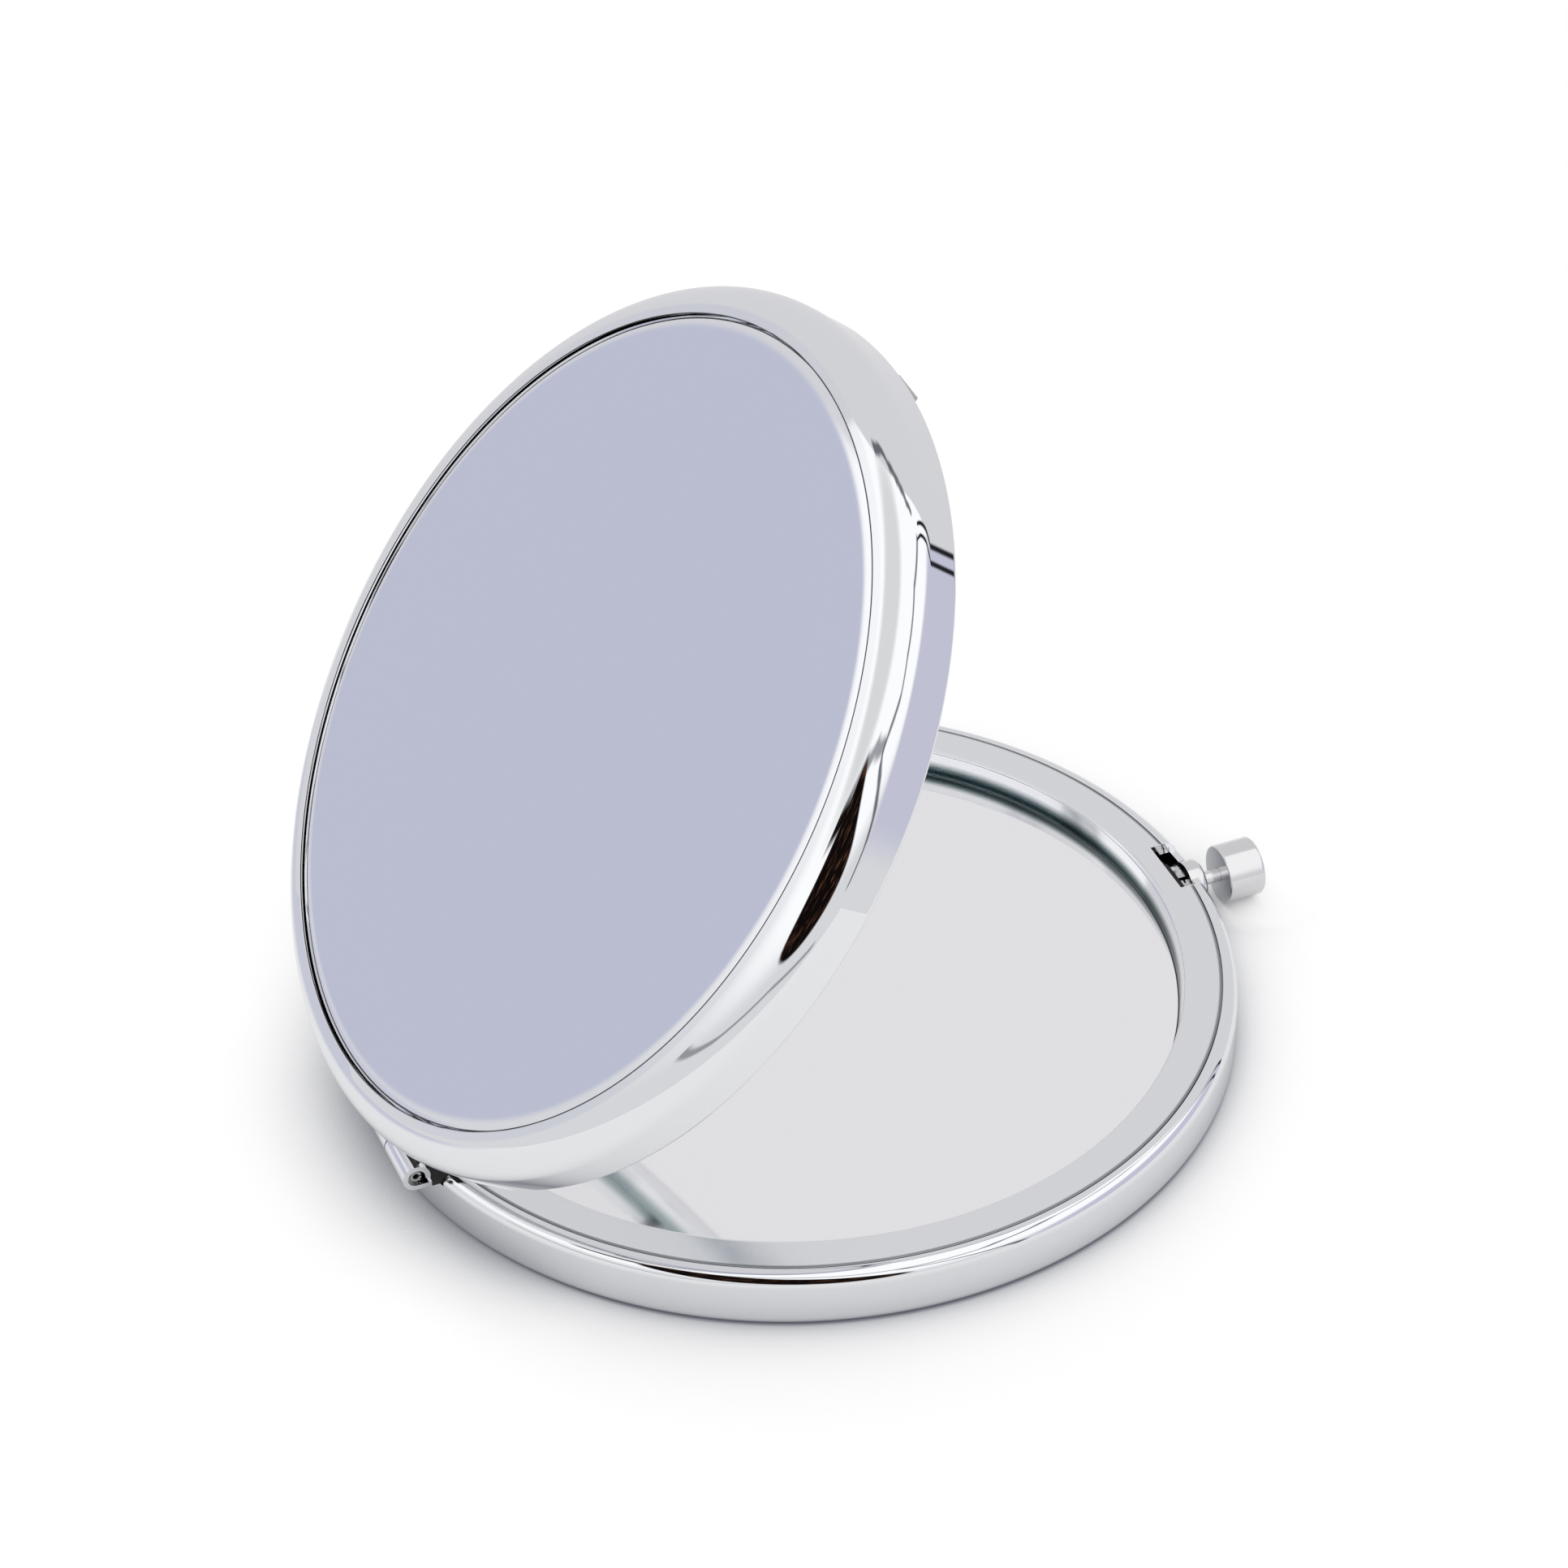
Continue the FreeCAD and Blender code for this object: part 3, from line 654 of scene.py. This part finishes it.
# Hinge pin
# A short length of strip rolled to a slit tube and driven through the knuckles.
# It is plain steel, held in the base's knuckles, and its necked end shows at the side.
pin_low, pin_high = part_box("hinge_pin")
pin_radius = pin_high.z - hinge_point.z
pin_wall = 0.36 * mm
pin_slit = math.radians(20)
pin_neck = 0.45 * mm
pin_neck_wall = 0.2 * mm
pin_neck_length = 0.9 * mm
pin_steps = 48
pin_centre = Vector((hinge_point.x, hinge_point.z))
spring_steel, spot = new_finish("spring_steel")
drawn = noise(spot, 6000.0, 2.0)
close_finish(spot, {
    "Base Color": (0.45, 0.44, 0.43, 1.0),
    "Metallic": 1.0,
    "Roughness": 0.25 + 0.15 * drawn,
})


def slit_tube(name, radius, wall, low_y, high_y):
    """A stretch of strip rolled to a tube along the hinge, open at its slit."""
    turns = [pin_slit / 2 + (2 * math.pi - pin_slit) * step / pin_steps for step in range(pin_steps + 1)]
    ring = [Vector((math.cos(turn), math.sin(turn))) for turn in turns]
    outline = [pin_centre + spot * radius for spot in ring]
    outline += [pin_centre + spot * (radius - wall) for spot in reversed(ring)]
    return prism(name, outline, low_y, high_y, spring_steel)


neck_start = pin_low.y + pin_neck_length
hinge_pin = slit_tube("hinge_roll_pin", pin_radius, pin_wall, neck_start, pin_high.y - pin_neck_length)
cut(hinge_pin, slit_tube("neck", pin_neck, pin_neck_wall, pin_low.y, pin_high.y), operation="UNION")
fitted(smoothed(hinge_pin), "base", "hinge_pin")

# Button bush
# A small bush turned from bar, riveted in the wall to guide the button's stem.
# Its nose is rounded, and its inner flange is filed flat above for the hook and below for the floor.
bush_low, bush_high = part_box("latch_bush")
stem_radius = 0.55 * mm
stem_gap = 0.05 * mm
bush_nose_radius = 0.5 * mm
bush_mouth_radius = 0.1 * mm
bush_flange_thickness = 0.33 * mm
bush_flange_overhang = 0.45 * mm
bush_flange_end = bush_low.x + bush_flange_thickness
hook_room_depth = 1.85 * mm
to_button_axis = Matrix.Translation((0, 0, button_height)) @ Matrix.Rotation(math.pi / 2, 4, "Y")
turned_metal, spot = new_finish("turned_metal")
station = spot.node("ShaderNodeSeparateXYZ", {}, {0: spot}, give=0)
tool_marks = spot.node("ShaderNodeTexNoise", {"noise_dimensions": "1D"}, {
    "W": station, "Scale": 9000.0, "Detail": 3.0})
grooves = spot.node("ShaderNodeBump", {}, {"Strength": 0.35, "Distance": 0.02 * mm, "Height": tool_marks})
close_finish(spot, {
    "Base Color": (0.72, 0.72, 0.73, 1.0),
    "Metallic": 1.0,
    "Roughness": 0.09 + 0.06 * tool_marks,
    "Normal": grooves,
})


def turned_on_button_axis(name, corners, steps=120, closed=False):
    """A piece turned about the button's axis, from corners (radius, x, rounding)."""
    piece = turned(name, rounded_outline(corners), turned_metal, steps, closed)
    piece.data.transform(to_button_axis)
    return smoothed(piece)


button_bush = turned_on_button_axis("button_bush", [
    (stem_radius + stem_gap, bush_low.x, 0),
    (bush_radius + bush_flange_overhang, bush_low.x, 0),
    (bush_radius + bush_flange_overhang, bush_flange_end, 0),
    (bush_radius, bush_flange_end, 0),
    (bush_radius, bush_high.x, bush_nose_radius),
    (stem_radius + stem_gap, bush_high.x, bush_mouth_radius),
], closed=True)
hook_level = base_height - hook_room_depth
cut(
    button_bush,
    block((0, -case_radius, hook_level), (bush_flange_end, case_radius, clear_of_cup)),
    block((0, -case_radius, 0), (bush_flange_end, case_radius, sheet_thickness + press_gap)),
)
smoothed(button_bush)
# The inner flange takes the painted shade.
paint_shade_in_box(button_bush, (0, -case_radius, 0), (bush_flange_end, case_radius, base_height))
fitted(button_bush, "base", "latch_bush")

# Bolt channel
# A folded channel on the cup's floor, which guides the bolt. It is seen only as darkness through the
# catch slot, so it and the bolt are given the near-black painted shade.
for name in ("latch_guide", "latch_bolt"):
    frame["nodes"][name].data.materials.clear()
    frame["nodes"][name].data.materials.append(painted_shade_finish)

# Return spring
# A conical spring of fine steel wire behind the bolt.
# Its wide end stands on the bezel's skirt and its small end on the bolt.
spring_low, spring_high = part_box("latch_spring")
spring_wire = 0.2 * mm
spring_turns = 1.75
spring_wide = 2.7 * mm
spring_narrow = 1.2 * mm


def spring_tree():
    """Node tree of a conical wire spring that stands along Z."""
    tree = bpy.data.node_groups.new("conical_spring", "GeometryNodeTree")
    for name, kind in (("Start", "Geometry"), ("Turns", "Float"), ("Wide", "Float"), ("Narrow", "Float"),
                       ("Height", "Float"), ("Wire", "Float"), ("Finish", "Material")):
        tree.interface.new_socket(name, in_out="INPUT", socket_type="NodeSocket" + kind)
    tree.interface.new_socket("Spring", in_out="OUTPUT", socket_type="NodeSocketGeometry")
    given = tree.nodes.new("NodeGroupInput").outputs
    turns, wide, narrow, height, wire, finish = [Wire(given[number]) for number in range(1, 7)]
    spiral = turns.node("GeometryNodeCurveSpiral", {}, {
        "Resolution": 48, "Rotations": turns, "Start Radius": wide / 2.0, "End Radius": narrow / 2.0,
        "Height": height, "Reverse": True})
    ring = wire.node("GeometryNodeCurvePrimitiveCircle", {}, {"Resolution": 16, "Radius": wire / 2.0})
    coil = spiral.node("GeometryNodeCurveToMesh", {}, {
        "Curve": spiral, "Profile Curve": ring, "Fill Caps": True})
    real = coil.node("GeometryNodeRealizeInstances", {}, {"Geometry": coil})
    dressed = coil.node("GeometryNodeSetMaterial", {}, {"Geometry": real, "Material": finish})
    coil.node("NodeGroupOutput", {}, {0: dressed})
    return tree


spring_seat = spring_low.x + spring_wire / 2
spring_length = spring_high.x - spring_low.x - spring_wire
button_spring = shaped_by(
    spring_tree(), new_piece("button_spring", bpy.data.meshes.new("button_spring")),
    Turns=spring_turns, Wide=spring_wide, Narrow=spring_narrow, Height=spring_length, Wire=spring_wire,
    Finish=spring_steel)
to_seat = Matrix.Translation((spring_seat, 0, 0)) @ to_button_axis
button_spring.data.transform(to_seat @ Matrix.Rotation(-math.pi / 2, 4, "Z"))
fitted(smoothed(button_spring), "base", "latch_spring")
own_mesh(button_spring)

# Button stem
# A turned pin, necked where it runs beneath the hook, riveted in the bolt and pressed in the knob.
# Its outer stretch shows bright between the bush and the knob.
stem_low, stem_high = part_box("button_stem")
neck_radius = 0.4 * mm
neck_end = 35.3 * mm
button_stem = turned_on_button_axis("button_shaft", [
    (0, stem_low.x, 0),
    (neck_radius, stem_low.x, 0),
    (neck_radius, neck_end, 0),
    (stem_radius, neck_end, 0),
    (stem_radius, stem_high.x, 0),
    (0, stem_high.x, 0),
], steps=64)
# The necked stretch beneath the hook takes the painted shade.
paint_shade_in_box(button_stem, (stem_low.x, -stem_radius, 0), (neck_end, stem_radius, base_height))
fitted(button_stem, "button", "button_stem")

# Button knob
# A plain knob turned from bar and left satin, with fine tool marks round it and its edges broken.
# It is bored from behind for the stem.
knob_radius = (button_high.y - button_low.y) / 2
knob_edge = 0.3 * mm
knob_bore_depth = 1.4 * mm
button_knob = turned_on_button_axis("button_knob", [
    (0, button_low.x + knob_bore_depth, 0),
    (stem_radius + fit_gap, button_low.x + knob_bore_depth, 0),
    (stem_radius + fit_gap, button_low.x, 0),
    (knob_radius, button_low.x, knob_edge / 2),
    (knob_radius, button_high.x, knob_edge),
    (0, button_high.x, 0),
])
fitted(button_knob, "button", "button_cap")

# Lid cup
# The upper half's shell, modelled shut and then swung open: drawn deeper than the base, with a full
# round shoulder that turns down into a shallow recess for the face plate.
lid_height = 5.55 * mm
shoulder_radius = 2.7 * mm
crest_radius = 0.06 * mm
recess_edge = 3.0 * mm
recess_depth = 0.8 * mm
lid_rim_radius = 0.4 * mm
lid_mating = base_height + parting_gap
lid_top = lid_mating + lid_height
crest_slope = math.radians(8)
recess_floor = lid_top - recess_depth
lid_floor = recess_floor - sheet_thickness
recess_radius = case_radius - recess_edge
shoulder_corner = lid_top - recess_edge * math.tan(crest_slope)
lid_lip_top = lid_mating + lip_thickness
lid_cup = turned("lid_cup", rounded_outline([
    (0, recess_floor, 0),
    (recess_radius, recess_floor, 0),
    (recess_radius, lid_top, crest_radius),
    (case_radius, shoulder_corner, shoulder_radius),
    (case_radius, lid_mating, lid_rim_radius),
    (lip_radius, lid_mating, lip_edge_radius),
    (lip_radius, lid_lip_top, 0),
    (inner_radius, lid_lip_top, 0),
    (inner_radius, lid_floor, shoulder_radius - sheet_thickness),
    (0, lid_floor, 0),
], turn=math.radians(4)), chrome)
hook_thickness = 0.5 * mm
hook_wall_gap = 0.15 * mm
hook_width = 3.2 * mm
hook_gap = 0.05 * mm
hook_outer = inner_radius - hook_wall_gap
hook_inner = hook_outer - hook_thickness


def hook_slot():
    half_width = hook_width / 2 + hook_gap
    low = (hook_inner - hook_gap, -half_width, lid_mating - overrun)
    return block(low, (hook_outer + hook_gap, half_width, lid_mating + ring_thickness))


def swung(piece):
    """Swings a piece of the lid from shut to the open place that it rests in."""
    piece.data.transform(lid_swing)
    return smoothed(piece)


cut(lid_cup, hinge_notch(lid_mating - overrun, lid_mating + hinge_notch_depth), hook_slot())
fitted(swung(lid_cup), "lid", "lid_shell")

# Lid bezel
# The second pressed ring, of the same chromed sheet, held by the lid's curled rim.
# It is slotted for the leg of the catch hook, and the painted shade at the foot of its leaning wall is
# paler.
lid_hollow_radius = 600.0 * mm
lid_glass_gap = 0.4 * mm
lid_hollow = lid_hollow_radius - math.sqrt(lid_hollow_radius ** 2 - glass_radius ** 2)
lid_glass_front = lid_floor - lid_glass_gap - lid_hollow - glass_thickness
lid_ring_chrome = ring_finish("lid_ring_chrome", (0.30, 0.37, 0.385), (0.42, 0.48, 0.49))
lid_section = bezel_outline(lid_mating, 1, lid_glass_front, lid_floor)
lid_bezel = turned("lid_bezel", lid_section, lid_ring_chrome, closed=True)
cut(
    lid_bezel,
    flange_gap(lid_mating, 1, -1, 2 * notch_half),
    flange_gap(lid_mating, 1, 1, catch_slot_width),
    hook_slot(),
)
fitted(swung(lid_bezel), "lid", "lid_frame")

# Lid foam
# A die-cut ring of the same white foam, pressed between the lid's floor and the rim of the bent glass.
# Its face follows the hollow of the glass.
foam_ring_width = 6.4 * mm


def hollow(radius, edge_height):
    """Height of the magnifying glass's curve at a radius, from its height at the edge."""
    return edge_height + lid_hollow - lid_hollow_radius + math.sqrt(lid_hollow_radius ** 2 - radius ** 2)


lid_glass_back = lid_glass_front + glass_thickness
foam_inner = foam_radius - foam_ring_width
lid_foam = turned("lid_foam", rounded_outline([
    (foam_inner, hollow(foam_inner, lid_glass_back), 0),
    (foam_radius, hollow(foam_radius, lid_glass_back), 0),
    (foam_radius, lid_floor, 0),
    (foam_inner, lid_floor, 0),
]), foam, steps=120, closed=True)
fitted(swung(lid_foam), "lid", "lid_mirror_pad")

# Lid glass
# The magnifying mirror: thin glass slumped to one slight hollow and silvered behind.
# The bezel's leaning wall holds its edge.
glass_steps = 24
rings = [glass_radius * step / glass_steps for step in range(glass_steps + 1)]
lid_glass_outline = [Vector((radius, hollow(radius, lid_glass_front))) for radius in rings]
lid_glass_outline += [Vector((radius, hollow(radius, lid_glass_back))) for radius in reversed(rings)]
lid_glass = turned("lid_glass", lid_glass_outline, mirror)
fitted(swung(lid_glass), "lid", "lid_mirror")

# Lid hinge strip
# The second rolled strip of chromed sheet, with the two knuckles between the base's three.
# Its tail is spot welded beneath the lid's bezel.
lid_strip = hinge_strip("lid_hinge_strip", 1, 1)
lid_strip.data.transform(lid_swing)
fitted(smoothed(lid_strip), "lid", "lid_hinge_leaf")

# Catch hook
# A bent strip spot welded behind the lid's bezel; its leg passes through the slot and its nose
# points to the centre, under the bolt's ledge when the case is shut.
hook_foot_length = 1.6 * mm
hook_foot_thickness = 0.4 * mm
hook_reach = 1.8 * mm
hook_nose = 0.5 * mm
hook_nose_height = 0.4 * mm
hook_nose_ramp = 0.25 * mm
hook_edge = 0.1 * mm
hook_toe = 0.2 * mm
hook_bend = 0.15 * mm
hook_tip = base_height - hook_reach
hook_foot = lid_mating + ring_thickness
hook_heel = hook_outer - hook_foot_length
catch_hook = prism("catch_hook", rounded_outline([
    (hook_heel, hook_foot, 0),
    (hook_inner, hook_foot, 0),
    (hook_inner, hook_tip + hook_nose_height, 0),
    (hook_inner - hook_nose, hook_tip + hook_nose_height, 0),
    (hook_inner - hook_nose, hook_tip + hook_nose_ramp, hook_edge),
    (hook_inner, hook_tip, hook_toe),
    (hook_outer, hook_tip, hook_edge),
    (hook_outer, hook_foot + hook_foot_thickness, hook_bend),
    (hook_heel, hook_foot + hook_foot_thickness, 0),
]), -hook_width / 2, hook_width / 2, spring_steel)
fitted(swung(catch_hook), "lid", "lid_catch_hook")

# Face tape
# Thin white double-sided tape, cut to a disc and stuck between the recess and the face plate.
# The plate hides it.
tape, spot = new_finish("mounting_tape")
fibres = noise(spot, 3000.0, 4.0)
close_finish(spot, {
    "Base Color": shaded(fibres, (0.3, (0.72, 0.72, 0.70)), (0.7, (0.80, 0.80, 0.78))),
    "Roughness": 0.7 + 0.2 * fibres,
})
frame["nodes"]["face_plate_tape"].data.materials.clear()
frame["nodes"]["face_plate_tape"].data.materials.append(tape)

# Face plate
# A thin polished plate with a softly rolled edge, stuck in the lid's recess.
# It is left plain, as on a blank that is sold for engraving.
plate_groove = 0.15 * mm
plate_thickness = 0.5 * mm
tape_thickness = 0.15 * mm
plate_edge_width = 1.25 * mm
plate_edge_drop = 0.2 * mm
plate_radius = recess_radius - plate_groove
plate_back = recess_floor + tape_thickness
plate_front = plate_back + plate_thickness
roll_radius = (plate_edge_width ** 2 + plate_edge_drop ** 2) / (2 * plate_edge_drop)
roll_corner = plate_radius - plate_edge_width + roll_radius * plate_edge_drop / plate_edge_width
polished, spot = new_finish("polished_plate")
buffing = noise(spot, 700.0, 4.0)
close_finish(spot, {
    "Base Color": (0.80, 0.81, 0.84, 1.0),
    "Metallic": 1.0,
    "Roughness": 0.08 + 0.05 * buffing,
})
lid_face = turned("lid_face", rounded_outline([
    (0, plate_back, 0),
    (plate_radius, plate_back, 0),
    (plate_radius, plate_front - plate_edge_drop, 0),
    (roll_corner, plate_front, roll_radius),
    (0, plate_front, 0),
], turn=math.radians(1)), polished)
fitted(swung(lid_face), "lid", "lid_face_plate")

# Groove shade
# A fine near-black ring along the top of the recess's wall, beside the plate's edge: painted shade that
# stands for the shade in the groove between the plate and the recess.
shade_ring_width = 0.08 * mm
shade_ring_height = 0.05 * mm
shade_ring_top = lid_top - fit_gap
groove_shade, spot = new_finish("painted_groove_shade")
grain = noise(spot, 4000.0, 3.0)
close_finish(spot, {
    "Base Color": shaded(grain, (0.3, (0.010, 0.010, 0.012)), (0.7, (0.035, 0.035, 0.040))),
    "Roughness": 0.5 + 0.2 * grain,
})
groove_shade_ring = turned("groove_shade_ring", rounded_outline([
    (recess_radius - shade_ring_width, shade_ring_top - shade_ring_height, 0),
    (recess_radius - fit_gap, shade_ring_top - shade_ring_height, 0),
    (recess_radius - fit_gap, shade_ring_top, 0),
    (recess_radius - shade_ring_width, shade_ring_top, 0),
]), groove_shade, closed=True)
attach(swung(groove_shade_ring), "lid")

# Floor
# A round white table top that takes the soft shadow. Its shades follow how open each place is to the
# light, and a lavender-grey cloth beside it is seen in the metal alone.
floor_radius = 130.0 * mm
floor_steps = 128
shadow_reach = 12 * mm
knob_span = (2 * mm, 6 * mm)
knob_lift = 0.5
lid_side_span = (-44 * mm, -24 * mm)
lid_side_lift = 0.10
cloth_place = (-85 * mm, 65 * mm, 0)
cloth_span = (35 * mm, 60 * mm)
table_shade = 0.8
table_glow = 0.27
glow_in_metal = 0.6
floor_mesh = bpy.data.meshes.new("floor")
floor_angles = [2 * math.pi * step / floor_steps for step in range(floor_steps)]
floor_mesh.from_pydata(
    [(floor_radius * math.cos(angle), floor_radius * math.sin(angle), 0) for angle in floor_angles],
    [], [tuple(range(floor_steps))])
floor = new_piece("floor", floor_mesh)
white_table, spot = new_finish("white_table")


def away_from(place, spot):
    return spot.node("ShaderNodeVectorMath", {"operation": "DISTANCE"}, {0: spot, 1: place}, give=1)


in_view = spot.node("ShaderNodeLightPath")
in_metal = spot.node("ShaderNodeLightPath", give=3)
openness = spot.node("ShaderNodeAmbientOcclusion", {"samples": 16}, {"Distance": shadow_reach}, give=1)
openness = openness + knob_lift * eased(away_from((button_high.x, 0, 0), spot), *knob_span)
lid_side = spot.node("ShaderNodeSeparateXYZ", {}, {0: spot})
openness = openness + eased(lid_side, *lid_side_span, lid_side_lift, 0.0)
shades = shaded(
    openness,
    (0.25, (0.21, 0.22, 0.26)),
    (0.45, (0.47, 0.48, 0.51)),
    (0.53, (0.62, 0.63, 0.65)),
    (0.61, (0.74, 0.74, 0.75)),
    (0.69, (0.84, 0.84, 0.85)),
    (0.82, (0.94, 0.94, 0.94)),
    (0.93, (1.0, 1.0, 1.0)),
)
cloth = in_metal * eased(away_from(cloth_place, spot), *cloth_span)
shades = blended(cloth, shades, (0.72, 0.73, 0.83))
table_shades = spot.node("ShaderNodeVectorMath", {"operation": "SCALE"}, {0: shades, "Scale": table_shade})
matte = spot.node("ShaderNodeBsdfDiffuse", {}, {"Color": table_shades})
seen = in_view + glow_in_metal * in_metal
glow = spot.node("ShaderNodeEmission", {}, {"Color": shades, "Strength": table_glow * seen})
close_finish(spot, {0: matte, 1: glow}, "ShaderNodeAddShader")
floor_mesh.materials.append(white_table)

# Light
# A white tent round the case: bright above, with a grey side and lavender-grey panels. The sharp chrome
# of the cups and strips also shows the joins of its cloth and the dark opening for the camera, and the
# other finishes see the calm tent.
world = bpy.data.worlds.new("tent")
bpy.context.scene.world = world
world.use_nodes = True
world.node_tree.nodes.clear()
sky = Wire(world.node_tree.nodes.new("ShaderNodeTexCoord").outputs["Generated"])
east, north, rise = [sky.node("ShaderNodeSeparateXYZ", {}, {0: sky}, give=axis) for axis in range(3)]
bearing = north.maths("ARCTAN2", north, east) * math.degrees(1)
pitch = rise.maths("ARCSINE", rise) * math.degrees(1)


def from_spot(spot_bearing, spot_pitch):
    """Degrees aside and above a spot of the tent."""
    aside = bearing.node("ShaderNodeMath", {"operation": "WRAP"}, {
        0: bearing - spot_bearing, 1: 180.0, 2: -180.0})
    return aside, pitch - spot_pitch


def panel(middle, half_wide, half_tall, tilt=0.0, power=2.0):
    """Distance from the middle of a round or, with more power, squarer panel, 1 at its edge."""
    aside, above = from_spot(*middle)
    lean = math.radians(tilt)
    along = (aside * math.cos(lean) + above * math.sin(lean)) / half_wide
    athwart = (above * math.cos(lean) - aside * math.sin(lean)) / half_tall
    along, athwart = [side.maths("POWER", side.maths("ABSOLUTE", side), power) for side in (along, athwart)]
    return along.maths("POWER", along + athwart, 1.0 / power)


def join_line(stations, half_width):
    """A line through stations of the tent, soft at its sides."""
    mask = None
    for (start, end) in zip(stations, stations[1:]):
        aside, above = from_spot(*start)
        run = Vector(end) - Vector(start)
        share = (aside * run.x + above * run.y) / run.length_squared
        share = share.maths("MINIMUM", share.maths("MAXIMUM", share, 0.0), 1.0)
        off_aside = aside - share * run.x
        off_above = above - share * run.y
        off = share.maths("SQRT", off_aside * off_aside + off_above * off_above)
        stretch = eased(off, 0.3 * half_width, 1.3 * half_width)
        mask = stretch if mask is None else mask.maths("MAXIMUM", mask, stretch)
    return mask


tent = sky.node("ShaderNodeRGB")
tent.socket.default_value = (1.2, 1.2, 1.2, 1.0)
roof_middle = (-0.464, 0.187, 0.866)
facing_roof = sky.node("ShaderNodeVectorMath", {"operation": "DOT_PRODUCT"}, {
    0: sky, 1: roof_middle}, give=1)
for mask, colour in (
        (eased(pitch, 4.0, 32.0), (0.82, 0.82, 0.83)),
        (eased(1.0 - facing_roof, 0.04, 0.13), (0.83, 0.83, 0.83)),
        (eased(panel((-22, 5), 36, 22), 0.8, 1.2), (0.65, 0.655, 0.78)),
        (eased(panel((67, 12), 61, 58, power=3.0), 0.985, 1.0), (0.79, 0.785, 0.80)),
        (eased(panel((131, 9), 14, 11), 0.6, 1.5), (0.61, 0.625, 0.75))):
    tent = blended(mask, tent, colour)
calm_tent = tent
roof_edge = [(122, 46), (117, 52), (96, 65.5), (72, 70), (49, 70), (24, 66), (12, 59)]
near_join = [(4.9, 46), (6.1, 32), (7.3, 19), (6.4, 2)]
far_join = [(-1, 50), (1.6, 40), (3.8, 22), (2.6, 2)]
wall_edge = [(-1, 50), (-6, 52), (-22, 59), (-35, 56), (-50, 54), (-60, 48), (-78, 49), (-85, 48)]
wall_corner = [(-85, 48), (-84, 44), (-74, 32), (-64, 14), (-61, 2), (-63, -8)]
table_edge = [(-180, 10), (-142, -1), (-110, -5), (-77, -16)]
opening_hem = [(-88, 50), (-115, 57), (-150, 54), (-166, 46)]
opening_arm = [(190, 42), (205, 46)]
for stations, half_width, depth, colour in (
        (roof_edge, 1.8, 0.9, (0.10, 0.10, 0.12)),
        (near_join, 0.9, 1.0, (0.02, 0.02, 0.025)),
        (far_join, 0.8, 1.0, (0.02, 0.02, 0.025)),
        (wall_edge, 2.6, 0.85, (0.10, 0.10, 0.12)),
        (wall_corner, 2.2, 0.9, (0.10, 0.10, 0.12)),
        (table_edge, 1.6, 0.8, (0.25, 0.25, 0.28)),
        (opening_hem, 3.0, 0.8, (0.22, 0.22, 0.24))):
    tent = blended(join_line(stations, half_width) * depth, tent, colour)
room_shades = shaded(noise(sky, 14.0, 4.0), (0.55, (0.006, 0.004, 0.004)), (0.75, (0.16, 0.07, 0.035)))
opening = eased(panel((-121, 30), 40, 18, tilt=-33), 0.93, 1.03)
opening = opening.maths("MAXIMUM", opening, join_line(opening_arm, 4.0))
tent = blended(opening, tent, room_shades)
in_chrome = sky.node("ShaderNodeLightPath", give=4)
tent = blended(in_chrome, calm_tent, tent)
glossy = sky.node("ShaderNodeLightPath", give=3)
plain = sky.node("ShaderNodeBackground", {}, {"Color": (1.0, 1.0, 1.0, 1.0), "Strength": 1.0})
seen_in_metal = sky.node("ShaderNodeBackground", {}, {"Color": tent, "Strength": 1.0})
lit = sky.node("ShaderNodeMixShader", {}, {0: glossy, 1: plain, 2: seen_in_metal})
sky.node("ShaderNodeOutputWorld", {}, {"Surface": lit})

# Camera
# It stands where the photograph was taken from, by a fit of the case's outlines, and keeps the
# photograph's square frame.
photo_side = 1932.0
focal_pixels = 6450.8
camera_distance = 406.41 * mm
camera_azimuth = math.radians(-21.69)
camera_height = math.radians(37.835)
camera_roll = math.radians(-1.571)
aim = Vector((0, 0, 15 * mm))
aim_pixel = Vector((973.6, 1075.6))
back = Vector((
    math.sin(camera_azimuth) * math.cos(camera_height),
    -math.cos(camera_azimuth) * math.cos(camera_height),
    math.sin(camera_height),
))
level = Vector((math.cos(camera_azimuth), math.sin(camera_azimuth), 0))
upright = back.cross(level)
right = level * math.cos(camera_roll) + upright * math.sin(camera_roll)
up = upright * math.cos(camera_roll) - level * math.sin(camera_roll)
pixel_at_aim = camera_distance / focal_pixels
aside = (aim_pixel.x - photo_side / 2) * pixel_at_aim
below = (aim_pixel.y - photo_side / 2) * pixel_at_aim
camera_place = aim + back * camera_distance - right * aside + up * below
camera_data = bpy.data.cameras.new("camera")
camera_data.sensor_width = 36.0
camera_data.lens = camera_data.sensor_width * focal_pixels / photo_side
camera_data.clip_start = 0.01
camera_data.clip_end = 10.0
camera = bpy.data.objects.new("camera", camera_data)
bpy.context.scene.collection.objects.link(camera)
camera.matrix_world = Matrix((
    (right.x, up.x, back.x, camera_place.x),
    (right.y, up.y, back.y, camera_place.y),
    (right.z, up.z, back.z, camera_place.z),
    (0, 0, 0, 1),
))
bpy.context.scene.camera = camera
bpy.context.scene.view_settings.view_transform = "Standard"
